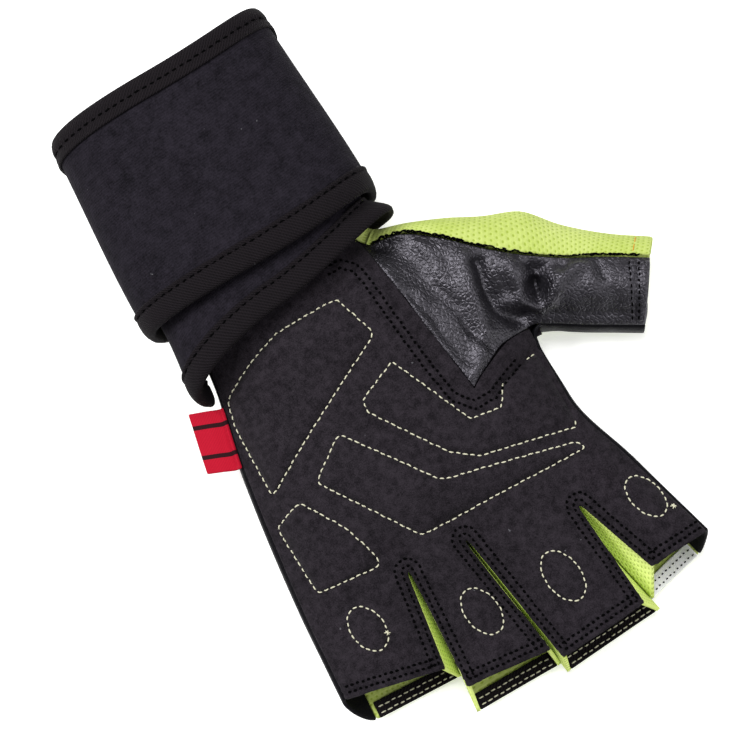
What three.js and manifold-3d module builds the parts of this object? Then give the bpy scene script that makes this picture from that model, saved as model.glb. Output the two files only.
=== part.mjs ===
// A fingerless weightlifting glove for the left hand with a long wrist wrap, lying on its back, palm up.
// Millimetres. +X points to the thumb, +Y to the wrist opening, +Z out of the palm. The glove lies on Z = 0.
// The hand is built from thin sheets: a palm, a back, side walls and thumb panels, each cut as its own piece.

import * as THREE from 'three';
import { mergeVertices } from 'three/addons/utils/BufferGeometryUtils.js';
import Module from 'manifold-3d';

const wasm = await Module();
wasm.setup();

// Driving sizes of the hand
const PALM_WIDTH = 105;
const PALM_LENGTH = 84; // from the wrist crease to the finger crotches
const HAND_THICKNESS = 32; // of the hollow hand, palm side to back
const FINGER_LENGTH = 42; // from the crotch to the palm-side hem of the middle finger
const FINGER_THICKNESS = 21;
const WRIST_TUCK = 22; // how far the hand reaches into the wrap, measured from the wrist crease
const THUMB_REACH = 50; // from the thumb's crotch to its open end
const THUMB_THICKNESS = 24;

// Driving sizes of the wrap
const WRIST_WIDTH = 0.59 * PALM_WIDTH; // of the hand inside the wrap
const WRIST_HEIGHT = 24;
const WRAP_WIDTH = 68.5;
const WRAP_THICKNESS = 2.6;
const WRAP_TAPER = 3; // what the half width loses from the wrist crease to the open end
const BINDING_WIDTH = 8;
const TAPE_THICKNESS = 0.6;
const TURN_CLEARANCE = 0.4;
const STRAP_CLEARANCE = 1.8; // between the hand and the strap's first turn
const CLOSURE_WIDTH = 40;
const CLOSURE_CLEARANCE = 0.35;

// Walls, pads and small pieces
const PALM_WALL = 1.5;
const MESH_WALL = 1.4;
const LEATHER_WALL = 1.3;
const SIDE_WALL = 1.2;
const PAD_THICKNESS = 1.3;
const BAND_THICKNESS = 0.8;
const BAND_WIDTH = 5.2;
const SIDE_BULGE = 3.4;
const FORK_INSET = 1.1; // how far a wall between two fingers stands back from the slit
const BACK_RISE = 3.5; // how far the back turns up at its edges
const BACK_SLIT = 1.2; // what stays open between two fingers of the back at their ends
const TAG_LENGTH = 19; // along the seam
const TAG_REACH = 10;
const TAG_THICKNESS = 1.1;
const SEAM_GAP = 0.35;
const BLIND_SEAM_GAP = 0.8; // where two sheets meet edge to edge at different slopes

const bindingProud = TAPE_THICKNESS + SEAM_GAP;
const pitch = WRAP_THICKNESS + 2 * bindingProud + TURN_CLEARANCE;
const TURNS = 1.88;
const GROUND_TURN = 1.75; // the turn at which the strap lies on the ground
const WRIST_X = -1;
const wristZ =
  WRIST_HEIGHT / 2 + STRAP_CLEARANCE + GROUND_TURN * pitch + WRAP_THICKNESS + bindingProud;

// Tables. x is a share of the palm's width and y of its length, heights are shares of the hand's thickness
const WRIST = {
  left: (WRIST_X - WRIST_WIDTH * 0.44) / PALM_WIDTH,
  right: (WRIST_X + WRIST_WIDTH * 0.44) / PALM_WIDTH,
  backLeft: (WRIST_X - WRIST_WIDTH * 0.4) / PALM_WIDTH,
  backRight: (WRIST_X + WRIST_WIDTH * 0.4) / PALM_WIDTH,
  crown: (wristZ + WRIST_HEIGHT * 0.48) / HAND_THICKNESS,
  edge: (wristZ + WRIST_HEIGHT * 0.2) / HAND_THICKNESS,
  floor: (wristZ - WRIST_HEIGHT * 0.5) / HAND_THICKNESS,
};

// The hand from inside the wrap to the crotches: edges of palm and back, the palm's heights, the back's floor
const HAND = [
  { at: 0, ...WRIST },
  { at: 0.08, left: -0.276, right: 0.271, backLeft: -0.252, backRight: 0.262, crown: 1.13, edge: 0.86, floor: 0.32 },
  { at: 0.25, left: -0.302, right: 0.53, backLeft: -0.27, backRight: 0.37, crown: 1.08, edge: 0.62, floor: 0.13 },
  { at: 0.51, left: -0.356, right: 0.59, backLeft: -0.315, backRight: 0.5, crown: 1.0, edge: 0.5, floor: 0 },
  { at: 0.77, left: -0.39, right: 0.587, backLeft: -0.348, backRight: 0.545, crown: 0.9, edge: 0.45, floor: 0 },
  { at: 1, left: -0.41, right: 0.65, backLeft: -0.37, backRight: 0.61, crown: 0.78, edge: 0.43, floor: 0 },
];

// The lines between the fingers: share of the hand's width from the little finger's side, and where each one ends
const LINES = [
  { across: 0, end: 0.93 },
  { across: 0.315, end: 0.972 },
  { across: 0.496, end: 0.974 },
  { across: 0.81, end: 1.074 },
  { across: 1, end: 0.99 },
];

// The hem of each finger: its two corners, and what the back runs past them, as shares of the finger's length
const FINGERS = [
  { name: 'little', leftX: -0.422, leftY: 0.655, rightX: -0.118, rightY: 0.74, leftOver: 0.24, rightOver: 0.1 },
  { name: 'ring', leftX: -0.098, leftY: 0.926, rightX: 0.175, rightY: 0.99, leftOver: 0.2, rightOver: 0.13 },
  { name: 'middle', leftX: 0.184, leftY: 1.088, rightX: 0.476, rightY: 0.833, leftOver: 0.11, rightOver: 0.1 },
  { name: 'index', leftX: 0.537, leftY: 0.638, rightX: 0.735, rightY: 0.78, leftOver: 0.21, rightOver: 0.12 },
];

// The thumb panel from the palm seam to the thumb's crotch: its outer seam, its inner edge and the widest line of
// the wall around it; row is the matching place along the edge of the back, in rows of the hand
const THUMB_ROOT = [
  { at: -0.3, outerX: 0.286, outerY: 0.262, row: 0 },
  { at: -0.14, outerX: 0.314, outerY: 0.205, row: 0.6 },
  { at: 0, seamX: 0.284, seamY: 0.13, inX: 0.355, inY: -0.525, outerX: 0.335, outerY: 0.18, row: 1.4 },
  { at: 0.15, seamX: 0.39, seamY: 0.099, inX: 0.428, inY: -0.474, outerX: 0.43, outerY: 0.14, row: 2.5 },
  { at: 0.3, seamX: 0.486, seamY: 0.015, inX: 0.505, inY: -0.43, outerX: 0.54, outerY: 0.09, row: 3.9 },
  { at: 0.43, seamX: 0.58, seamY: -0.095, inX: 0.59, inY: -0.42, outerX: 0.638, outerY: 0.033, row: 5.4 },
];

// The thumb beyond its crotch, measured from the crotch in shares of the thumb's reach
const THUMB_TUBE = [
  { at: 0.57, seamX: 0.19, seamY: 0.378, inX: 0.13, inY: -0.054, outerX: 0.31, outerY: 0.68 },
  { at: 0.72, seamX: 0.39, seamY: 0.248, inX: 0.3, inY: -0.158, outerX: 0.5, outerY: 0.466 },
  { at: 0.86, seamX: 0.6, seamY: 0.138, inX: 0.47, inY: -0.258, outerX: 0.72, outerY: 0.274 },
  { at: 1, seamX: 0.845, seamY: -0.008, inX: 0.62, inY: -0.346, outerX: 0.95, outerY: 0.118 },
];

// Heights of the thumb, as shares of its thickness
const THUMB_HEIGHTS = [
  { at: -0.3, outer: 1.02, floor: 0.6 },
  { at: -0.14, outer: 0.98, floor: 0.5 },
  { at: 0, seam: 1.2, inner: 1.2, arch: 0.06, outer: 0.9, floor: 0.4 },
  { at: 0.15, seam: 1.23, inner: 1.1, arch: 0.07, outer: 0.76, floor: 0.25 },
  { at: 0.3, seam: 1.22, inner: 0.95, arch: 0.1, outer: 0.63, floor: 0.13 },
  { at: 0.43, seam: 1.17, inner: 0.78, arch: 0.14, outer: 0.56, floor: 0.07 },
  { at: 0.57, seam: 1.1, inner: 0.73, arch: 0.17, outer: 0.53, floor: 0.05 },
  { at: 0.72, seam: 1.03, inner: 0.7, arch: 0.19, outer: 0.52, floor: 0.05 },
  { at: 0.86, seam: 0.98, inner: 0.69, arch: 0.19, outer: 0.51, floor: 0.05 },
  { at: 1, seam: 0.94, inner: 0.67, arch: 0.17, outer: 0.5, floor: 0.05 },
];

// The strap, wound from the little finger's side over the palm: its lower edge as a share of the palm's length
// above the wrist crease, and how far that edge flares out, as a share of the wrist's width
const WRAP = [
  { at: -0.06, low: -0.085, flare: 0.025 },
  { at: 0, low: -0.07, flare: 0.03 },
  { at: 0.25, low: 0.06, flare: 0.02 },
  { at: 0.5, low: 0.19, flare: 0.11 },
  { at: 0.75, low: 0.2, flare: 0 },
  { at: 1, low: 0.22, flare: 0 },
  { at: 1.25, low: 0.22, flare: 0 },
  { at: 1.5, low: 0.285, flare: 0 },
  { at: 1.88, low: 0.27, flare: 0 },
];

// Outlines of the padded fields of the palm
const PADS = [
  {
    name: 'pad_heel',
    outline: [
      [-0.286, -0.1], [-0.18, -0.045], [-0.06, -0.002], [0.138, -0.004],
      [0.184, -0.18], [-0.31, -0.49], [-0.307, -0.2],
    ],
  },
  {
    name: 'pad_upper',
    outline: [
      [0.187, -0.299], [0.06, -0.367], [0.055, -0.414], [0.2, -0.68],
      [0.27, -0.746], [0.556, -0.82], [0.568, -0.79], [0.566, -0.51],
      [0.44, -0.548], [0.395, -0.632], [0.3, -0.616],
    ],
  },
  {
    name: 'pad_lower',
    outline: [
      [-0.05, -0.427], [-0.175, -0.535], [0.012, -0.887],
      [0.548, -0.905], [0.538, -0.87], [0.14, -0.754],
    ],
  },
  {
    name: 'pad_small',
    outline: [
      [-0.25, -0.562], [-0.346, -0.595], [-0.335, -0.878],
      [-0.138, -0.905], [-0.133, -0.864], [-0.168, -0.728],
    ],
  },
];

// The oval pads: place along and across the finger, half sizes as shares of the finger's length, tilt in degrees
const OVALS = [
  { across: 0.48, along: 0.37, halfWidth: 0.12, halfLength: 0.18, tilt: 10 },
  { across: 0.6, along: 0.53, halfWidth: 0.12, halfLength: 0.19, tilt: 10 },
  { across: 0.5, along: 0.5, halfWidth: 0.125, halfLength: 0.205, tilt: 8 },
  { across: 0.72, along: 0.41, halfWidth: 0.11, halfLength: 0.18, tilt: 16 },
];
const OVAL_SIDES = 14;

// How finely the sheets are divided
const PALM_ROWS = 10;
const FINGER_ROWS = 5;
const ROWS = PALM_ROWS + FINGER_ROWS;
const PALM_COLUMNS = [0, 0.16, 0.34, 0.5, 0.66, 0.84, 1];
const BACK_COLUMNS = [0, 0.1, 0.3, 0.5, 0.7, 0.9, 1];
const WRAP_SIDES = 26;

// Small mathematics
const lerp = THREE.MathUtils.lerp;
const clamp = THREE.MathUtils.clamp;
const smooth = (x) => THREE.MathUtils.smoothstep(x, 0, 1);
const vec = (x, y, z) => new THREE.Vector3(x, y, z);
const steps = (n, from = 0, to = 1) => Array.from({ length: n + 1 }, (_, i) => lerp(from, to, i / n));
const mix = (a, b, t) => a.clone().lerp(b, t);

// One column of a table at a place between its rows, on a curve that never overshoots them
function column(rows, name, at) {
  const table = rows.filter((row) => name in row);
  const last = table.length - 1;
  const secant = (k) => (table[k + 1][name] - table[k][name]) / (table[k + 1].at - table[k].at);
  const slope = (k) => {
    if (k === 0 || k === last) return secant(Math.min(k, last - 1));
    const [a, b] = [secant(k - 1), secant(k)];
    return a * b <= 0 ? 0 : (2 * a * b) / (a + b);
  };
  let i = 0;
  while (i < last - 1 && at > table[i + 1].at) i += 1;
  const span = table[i + 1].at - table[i].at;
  const t = clamp((at - table[i].at) / span, 0, 1);
  const [t2, t3] = [t * t, t * t * t];
  return (
    (2 * t3 - 3 * t2 + 1) * table[i][name] +
    (t3 - 2 * t2 + t) * span * slope(i) +
    (3 * t2 - 2 * t3) * table[i + 1][name] +
    (t3 - t2) * span * slope(i + 1)
  );
}

function geometryOf(points, faces) {
  const geometry = new THREE.BufferGeometry();
  geometry.setAttribute('position', new THREE.Float32BufferAttribute(points.flatMap((p) => p.toArray()), 3));
  geometry.setIndex(faces.flat());
  return geometry;
}

// Sheets: grids of points welded into one open face, with a normal at each point
class Skin {
  constructor(grids, facing) {
    this.points = [];
    this.triangles = [];
    this.index = new Map();
    for (const grid of grids) this.addGrid(grid);
    this.normals = this.points.map(() => vec(0, 0, 0));
    for (const t of this.triangles) {
      const [a, b, c] = t.map((i) => this.points[i]);
      const n = b.clone().sub(a).cross(c.clone().sub(a));
      for (const i of t) this.normals[i].add(n);
    }
    const total = this.normals.reduce((sum, n) => sum + n.dot(facing), 0);
    if (total < 0) {
      for (const t of this.triangles) t.reverse();
      for (const n of this.normals) n.negate();
    }
    for (const n of this.normals) n.normalize();
  }

  place(p) {
    const key = [p.x, p.y, p.z].map((c) => Math.round(c * 1e3)).join();
    if (!this.index.has(key)) {
      this.index.set(key, this.points.length);
      this.points.push(p);
    }
    return this.index.get(key);
  }

  addGrid(grid) {
    for (let r = 0; r + 1 < grid.length; r += 1) {
      for (let c = 0; c + 1 < grid[r].length; c += 1) {
        const around = [grid[r][c], grid[r][c + 1], grid[r + 1][c + 1], grid[r + 1][c]];
        const quad = around.map((p) => this.place(p));
        for (const t of [[quad[0], quad[1], quad[2]], [quad[0], quad[2], quad[3]]]) {
          if (new Set(t).size === 3) this.triangles.push(t);
        }
      }
    }
  }

  // Closed body between two distances off the sheet
  body(low, high) {
    const count = this.points.length;
    const level = (d) => this.points.map((p, i) => p.clone().addScaledVector(this.normals[i], d));
    const faces = [];
    const edges = new Set();
    for (const [a, b, c] of this.triangles) {
      faces.push([a, b, c], [a + count, c + count, b + count]);
      for (const e of [[a, b], [b, c], [c, a]]) edges.add(e.join());
    }
    for (const e of edges) {
      const [a, b] = e.split(',').map(Number);
      if (!edges.has([b, a].join())) faces.push([b, a, a + count], [b, a + count, b + count]);
    }
    return geometryOf([...level(high), ...level(low)], faces);
  }
}

// Closed body through rings of equally many points, closed at both ends by the given triangles of a ring
function loft(rings, endFaces) {
  const sides = rings[0].length;
  const faces = [];
  for (let r = 0; r + 1 < rings.length; r += 1) {
    for (let s = 0; s < sides; s += 1) {
      const a = r * sides + s;
      const b = r * sides + ((s + 1) % sides);
      faces.push([a, b, b + sides], [a, b + sides, a + sides]);
    }
  }
  const end = (rings.length - 1) * sides;
  for (const [a, b, c] of endFaces) faces.push([a, c, b], [end + a, end + b, end + c]);
  const geometry = geometryOf(rings.flat(), faces);
  return volume(geometry) > 0 ? geometry : turned(geometry);
}

function volume(geometry) {
  const position = geometry.getAttribute('position');
  const index = geometry.index.array;
  const corner = (i) => vec(0, 0, 0).fromBufferAttribute(position, index[i]);
  let sum = 0;
  for (let i = 0; i < index.length; i += 3) sum += corner(i).dot(corner(i + 1).cross(corner(i + 2)));
  return sum / 6;
}

function turned(geometry) {
  const index = Array.from(geometry.index.array);
  for (let i = 0; i < index.length; i += 3) [index[i], index[i + 1]] = [index[i + 1], index[i]];
  geometry.setIndex(index);
  return geometry;
}

// Cutting and joining
function solidOf(geometry) {
  const bare = new THREE.BufferGeometry().setAttribute('position', geometry.getAttribute('position'));
  bare.setIndex(geometry.index);
  const merged = mergeVertices(bare, 1e-4);
  return new wasm.Manifold(
    new wasm.Mesh({
      numProp: 3,
      vertProperties: merged.attributes.position.array,
      triVerts: new Uint32Array(merged.index.array),
    }),
  );
}

function shapeOf(solid) {
  const mesh = solid.getMesh();
  const geometry = new THREE.BufferGeometry();
  geometry.setAttribute('position', new THREE.BufferAttribute(mesh.vertProperties, 3));
  geometry.setIndex(new THREE.BufferAttribute(mesh.triVerts, 1));
  return geometry;
}

// Upright cutter over an outline drawn on the palm's plan
function cutter(outline) {
  const depth = 4 * HAND_THICKNESS;
  const shape = new THREE.Shape(outline.map(([x, y]) => new THREE.Vector2(x, y)));
  const geometry = new THREE.ExtrudeGeometry(shape, { depth, bevelEnabled: false });
  geometry.translate(0, 0, -depth / 2);
  geometry.deleteAttribute('normal');
  geometry.deleteAttribute('uv');
  return solidOf(mergeVertices(geometry, 1e-4));
}

// The hand's outline and heights at a place along it
function section(y) {
  const at = (WRIST_TUCK - y) / (WRIST_TUCK + PALM_LENGTH);
  const read = (name, unit) => column(HAND, name, at) * unit;
  return {
    left: read('left', PALM_WIDTH),
    right: read('right', PALM_WIDTH),
    backLeft: read('backLeft', PALM_WIDTH),
    backRight: read('backRight', PALM_WIDTH),
    crown: read('crown', HAND_THICKNESS),
    edge: read('edge', HAND_THICKNESS),
    floor: read('floor', HAND_THICKNESS),
  };
}

const fingerEdge = FINGER_THICKNESS * 0.74;
const PALM_ARCH = 2.8; // exponent of the palm's section: higher is flatter with rounder sides
const FINGERS_BEGIN = 0.78; // where along the palm its single arch starts to part into finger arches
const FLAT_SHARE = 0.5; // of the back's width that stays flat

const crotchY = (line) => -PALM_LENGTH * LINES[line].end;

// Plan point on the line between two fingers, v from 0 at the wrist to 1 at the crotch
function linePoint(line, v, back) {
  const y = lerp(WRIST_TUCK, crotchY(line), v);
  const s = section(y);
  const across = LINES[line].across;
  return [back ? lerp(s.backLeft, s.backRight, across) : lerp(s.left, s.right, across), y];
}

const slitMiddle = (line) => ((FINGERS[line - 1].rightX + FINGERS[line].leftX) / 2) * PALM_WIDTH;

// Plan point on one side of a finger, w from 0 at the crotch to 1 at the hem
function fingerSide(finger, side, w, back) {
  const row = FINGERS[finger];
  const line = finger + side;
  const start = linePoint(line, 1, back);
  const x = (side ? row.rightX : row.leftX) * PALM_WIDTH;
  const y = crotchY(line) - (side ? row.rightY : row.leftY) * FINGER_LENGTH;
  const over = back ? (side ? row.rightOver : row.leftOver) * FINGER_LENGTH : 0;
  const outer = line === 0 || line === LINES.length - 1;
  const shift = back && outer ? start[0] - linePoint(line, 1, false)[0] : 0;
  const end = back && !outer ? slitMiddle(line) + (0.5 - side) * BACK_SLIT : x + shift;
  return [lerp(start[0], end, w), lerp(start[1], y - over, w)];
}

// Plan point of a strip, s from 0 to 1 across the finger; rows run from the wrist through the crotch to the hem
function stripPoint(finger, s, row, back) {
  const v = Math.min(row / PALM_ROWS, 1);
  const w = Math.max(0, (row - PALM_ROWS) / FINGER_ROWS);
  const left = w > 0 ? fingerSide(finger, 0, w, back) : linePoint(finger, v, back);
  const right = w > 0 ? fingerSide(finger, 1, w, back) : linePoint(finger + 1, v, back);
  return [lerp(left[0], right[0], s), lerp(left[1], right[1], s)];
}

// How much a row follows the arches of the single fingers
function parting(row) {
  const v = Math.min(row / PALM_ROWS, 1);
  const w = Math.max(0, (row - PALM_ROWS) / FINGER_ROWS);
  return 0.6 * smooth((v - FINGERS_BEGIN) / (1 - FINGERS_BEGIN)) + 0.4 * smooth(w / 0.4);
}

function palmHeight(x, y) {
  const s = section(y);
  const u = clamp((x - s.left) / (s.right - s.left), 0, 1);
  return s.edge + (s.crown - s.edge) * (1 - Math.abs(2 * u - 1) ** PALM_ARCH);
}

function palmPoint(finger, s, row) {
  const [x, y] = stripPoint(finger, s, row, false);
  const q = 2 * s - 1;
  const arch = fingerEdge + (FINGER_THICKNESS - fingerEdge) * (1 - q * q);
  return vec(x, y, lerp(palmHeight(x, y), arch, parting(row)));
}

// The back lies flat on the ground in the middle and turns up towards its edges
const turnUp = (q) => BACK_RISE * Math.max(0, (Math.abs(q) - FLAT_SHARE) / (1 - FLAT_SHARE)) ** 2;

function backPoint(finger, s, row) {
  const [x, y] = stripPoint(finger, s, row, true);
  const w = Math.max(0, (row - PALM_ROWS) / FINGER_ROWS);
  const here = section(y);
  const u = clamp((x - here.backLeft) / (here.backRight - here.backLeft), 0, 1);
  const rise = lerp(turnUp(2 * u - 1), turnUp(2 * s - 1), parting(row));
  const curl = BACK_RISE * Math.max(0, w - 0.6) * Math.abs(2 * s - 1);
  return vec(x, y, here.floor + rise + curl);
}

// Point of a sheet with its outward normal and the direction that runs off its side edge
function edgeFrame(at, s, row, facing, last) {
  const h = last / 800;
  const point = at(s, row);
  const along = at(s, Math.min(row + h, last)).sub(at(s, Math.max(row - h, 0)));
  const inward = s < 0.5 ? 0.02 : -0.02;
  const across = at(s + inward, row).sub(point);
  const normal = across.clone().cross(along).normalize();
  if (normal.dot(facing) < 0) normal.negate();
  const off = normal.clone().cross(along).normalize();
  if (off.dot(across) > 0) off.negate();
  return { point, normal, off };
}

const UP = vec(0, 0, 1);
const DOWN = vec(0, 0, -1);
const palmEdge = (finger, s, row) => edgeFrame((a, r) => palmPoint(finger, a, r), s, row, UP, ROWS);
const backEdge = (finger, s, row) => edgeFrame((a, r) => backPoint(finger, a, r), s, row, DOWN, ROWS);

const gridOf = (at, finger, rows, columns) => rows.map((row) => columns.map((s) => at(finger, s, row)));
const ALL_ROWS = steps(ROWS, 0, ROWS);
const palmSkin = new Skin(FINGERS.map((_, i) => gridOf(palmPoint, i, ALL_ROWS, PALM_COLUMNS)), UP);
const backSkin = new Skin(FINGERS.map((_, i) => gridOf(backPoint, i, ALL_ROWS, BACK_COLUMNS)), DOWN);

// One ring of a wall that runs from one edge round to another: it leaves each edge along its sheet, bulges out
// between them by the given amount, and its inner face follows one wall thickness further in
const WALL_STEPS = 5;
const HANDLE = 4 / 3; // a curve's handle over the bulge that it makes
function wallRing(top, bottom, gap, bulge) {
  const face = (depth) => {
    const start = top.point.clone().addScaledVector(top.off, gap).addScaledVector(top.normal, -depth);
    const end = bottom.point.clone().addScaledVector(bottom.off, gap).addScaledVector(bottom.normal, -depth);
    const handle = (bulge - depth) * HANDLE;
    const curve = new THREE.CubicBezierCurve3(
      start,
      start.clone().addScaledVector(top.off, handle),
      end.clone().addScaledVector(bottom.off, handle),
      end,
    );
    return curve.getPoints(WALL_STEPS);
  };
  return [...face(0), ...face(SIDE_WALL).reverse()];
}
const wallEnd = steps(WALL_STEPS - 1, 0, WALL_STEPS - 1).flatMap((i) => {
  const inner = 2 * WALL_STEPS + 1 - i;
  return [[i, i + 1, inner - 1], [i, inner - 1, inner]];
});

function sideRing(finger, s, row, bulge) {
  return wallRing(palmEdge(finger, s, row), backEdge(finger, s, row), SEAM_GAP, bulge);
}
const ulnarBulge = (row) => SIDE_BULGE * lerp(0.55, 1, smooth((row - 2.6) / 1.6));
const ulnarRings = ALL_ROWS.map((row) => sideRing(0, 0, row, ulnarBulge(row)));

// The thumb, with both tables brought to millimetres
const CROTCH = THUMB_ROOT[THUMB_ROOT.length - 1];
const thumbRows = [
  ...THUMB_ROOT.map((row) => {
    const scaled = { at: row.at, row: row.row };
    for (const side of ['seam', 'in', 'outer']) {
      if (`${side}X` in row) scaled[`${side}X`] = row[`${side}X`] * PALM_WIDTH;
      if (`${side}Y` in row) scaled[`${side}Y`] = row[`${side}Y`] * PALM_LENGTH;
    }
    return scaled;
  }),
  ...THUMB_TUBE.map((row) => {
    const scaled = { at: row.at };
    for (const side of ['seam', 'in', 'outer']) {
      scaled[`${side}X`] = CROTCH.inX * PALM_WIDTH + row[`${side}X`] * THUMB_REACH;
      scaled[`${side}Y`] = CROTCH.inY * PALM_LENGTH + row[`${side}Y`] * THUMB_REACH;
    }
    return scaled;
  }),
];
const thumb = (name, at) => column(thumbRows, name, at);
const thumbHeight = (name, at) => column(THUMB_HEIGHTS, name, at) * THUMB_THICKNESS;

// The leather on the palm side of the thumb, s from 0 at its outer seam to 1 at the crotch side
function leatherPoint(at, s) {
  const x = lerp(thumb('seamX', at), thumb('inX', at), s);
  const y = lerp(thumb('seamY', at), thumb('inY', at), s);
  const onPalm = palmHeight(x, y);
  const innerOnPalm = palmHeight(thumb('inX', at), thumb('inY', at));
  const innerZ = lerp(innerOnPalm, thumbHeight('inner', at), smooth((at - 0.36) / 0.14));
  const z = lerp(thumbHeight('seam', at), innerZ, s) + 4 * s * (1 - s) * thumbHeight('arch', at);
  return vec(x, y, lerp(onPalm, z, smooth(at / 0.15)));
}

// The wall around the outer side of the thumb and its underside, from the leather's seam to the back's edge
function outerRow(at) {
  const seam = at < 0 ? wristSeam(at) : thumbSeam(at);
  const widest = vec(thumb('outerX', at), thumb('outerY', at), thumbHeight('outer', at));
  const end = underEdge(at);
  const floor = mix(widest, end, 0.38).setZ(lerp(thumbHeight('floor', at), end.z, at < 0 ? 0.5 : 0));
  const upper = steps(4).map((t) => {
    const a = (t * Math.PI) / 2;
    return vec(
      lerp(seam.x, widest.x, Math.sin(a)),
      lerp(seam.y, widest.y, Math.sin(a)),
      lerp(widest.z, seam.z, Math.cos(a)),
    );
  });
  const lower = steps(3).slice(1).map((t) => {
    const a = (t * Math.PI) / 2;
    return vec(
      lerp(floor.x, widest.x, Math.cos(a)),
      lerp(floor.y, widest.y, Math.cos(a)),
      lerp(widest.z, floor.z, Math.sin(a)),
    );
  });
  return [...upper, ...lower, mix(floor, end, 0.5), end];
}

function thumbSeam(at) {
  const seam = leatherPoint(at, 0);
  const out = vec(thumb('outerX', at) - seam.x, thumb('outerY', at) - seam.y, 0).normalize();
  return seam.addScaledVector(out, BLIND_SEAM_GAP);
}

function wristSeam(at) {
  const palm = palmEdge(FINGERS.length - 1, 1, thumb('row', at) * 0.9);
  return palm.point.addScaledVector(palm.off, BLIND_SEAM_GAP);
}

// The lower edge of that wall: along the back up to the crotch, then along the thumb's inner side
function underEdge(at) {
  if (at <= CROTCH.at) {
    const back = backEdge(FINGERS.length - 1, 1, thumb('row', at));
    return back.point.addScaledVector(back.off, BLIND_SEAM_GAP);
  }
  const inner = leatherPoint(at, 1);
  const towards = vec(thumb('outerX', at) - inner.x, thumb('outerY', at) - inner.y, 0).normalize();
  const share = smooth((at - CROTCH.at) / 0.2);
  const own = inner.addScaledVector(towards, 2.2).setZ(thumbHeight('floor', at) + 0.14 * THUMB_THICKNESS);
  const back = backEdge(FINGERS.length - 1, 1, CROTCH.row);
  return mix(back.point.addScaledVector(back.off, BLIND_SEAM_GAP), own, share);
}

const LEATHER_ROWS = steps(14);
const leatherSkin = new Skin([LEATHER_ROWS.map((at) => steps(5).map((s) => leatherPoint(at, s)))], UP);
const OUTER_ROWS = [-0.3, -0.2, -0.1, ...steps(12)];
const outerSkin = new Skin([OUTER_ROWS.map(outerRow)], vec(0.6, 0.8, 0));

// The strip along the index finger's side, round the thumb's crotch and along the thumb
function innerRing(at) {
  const top = edgeFrame((s, a) => leatherPoint(a, s), 1, at, UP, 1);
  const off = vec(top.point.x - thumb('seamX', at), top.point.y - thumb('seamY', at), 0).normalize();
  const bottom = { point: underEdge(at), off, normal: DOWN };
  return wallRing(top, bottom, 0.7 * BLIND_SEAM_GAP, 0.9 * SIDE_BULGE * smooth((at - 0.45) / 0.2));
}
const INDEX = FINGERS.length - 1;
const crotchRow = (PALM_ROWS * (WRIST_TUCK - CROTCH.inY * PALM_LENGTH)) / (WRIST_TUCK - crotchY(INDEX + 1));
const radialRings = [
  ...steps(6, 1, 0.5).map(innerRing),
  ...[crotchRow + 0.25, ...steps(8, crotchRow + 1, ROWS)].map((row) => {
    return sideRing(INDEX, 1, row, SIDE_BULGE * 0.7 * smooth((row - crotchRow) / 2));
  }),
];

// The walls between the fingers: down one side of the slit, round the crotch and up the other side
const FORK_STEPS = 3;
function forkRow(line, side, row, round) {
  const finger = side < 0 ? line - 1 : line;
  const inset = (at) => {
    const left = at(finger, 0, row);
    return FORK_INSET / left.distanceTo(at(finger, 1, row));
  };
  const reach = (at) => (at(line, 0, PALM_ROWS).y - at(line, 0, PALM_ROWS - 1).y) / -1;
  const place = (at, facing, wall) => {
    const share = inset(at) * Math.cos(round);
    const s = side < 0 ? 1 - share : share;
    const back = (FORK_INSET * Math.sin(round)) / reach(at);
    const frame = edgeFrame((a, r) => at(finger, a, r), clamp(s, 0.001, 0.999), row - back, facing, ROWS);
    return frame.point.addScaledVector(facing, -(wall + 2.3 * SEAM_GAP) / Math.abs(frame.normal.z));
  };
  const top = place(palmPoint, UP, PALM_WALL);
  const bottom = place(backPoint, DOWN, MESH_WALL);
  return steps(FORK_STEPS).map((t) => mix(top, bottom, t));
}

function forkSkin(line) {
  const down = steps(5, ROWS, PALM_ROWS + 0.3);
  const turn = [0, 1, 2, 3].map((i) => (i * Math.PI) / 6);
  const rows = [
    ...down.map((row) => forkRow(line, -1, row, 0)),
    ...turn.map((a) => forkRow(line, -1, PALM_ROWS, a)),
    ...turn.slice(0, -1).reverse().map((a) => forkRow(line, 1, PALM_ROWS, a)),
    ...down.slice().reverse().map((row) => forkRow(line, 1, row, 0)),
  ];
  return new Skin([rows], DOWN);
}

// The wrap: a strap in a flattened spiral around the wrist
const TOP_ARCH = 2.6;
const BOTTOM_ARCH = 3.4;
function wrapPoint(turn, y, depth) {
  const a = Math.PI - turn * 2 * Math.PI;
  const grown = STRAP_CLEARANCE + Math.max(turn, 0) * pitch + depth;
  const taper = WRAP_TAPER * smooth((y - 0.4 * WRAP_WIDTH) / WRAP_WIDTH);
  const low = lowEdge(turn);
  const next = lowEdge(Math.min(turn + 1, TURNS));
  const covered = smooth((next - y) / Math.max(next - low, TAPE_THICKNESS));
  const flare = column(WRAP, 'flare', turn) * WRIST_WIDTH * covered;
  const halfWidth = WRIST_WIDTH / 2 + grown - taper + flare;
  const halfHeight = WRIST_HEIGHT / 2 + grown + 0.3 * flare;
  const [c, s] = [Math.cos(a), Math.sin(a)];
  const power = 2 / (s > 0 ? TOP_ARCH : BOTTOM_ARCH);
  return vec(
    WRIST_X + halfWidth * Math.sign(c) * Math.abs(c) ** power,
    y,
    wristZ + halfHeight * Math.sign(s) * Math.abs(s) ** power,
  );
}
const lowEdge = (turn) => column(WRAP, 'low', turn) * PALM_LENGTH;

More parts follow.
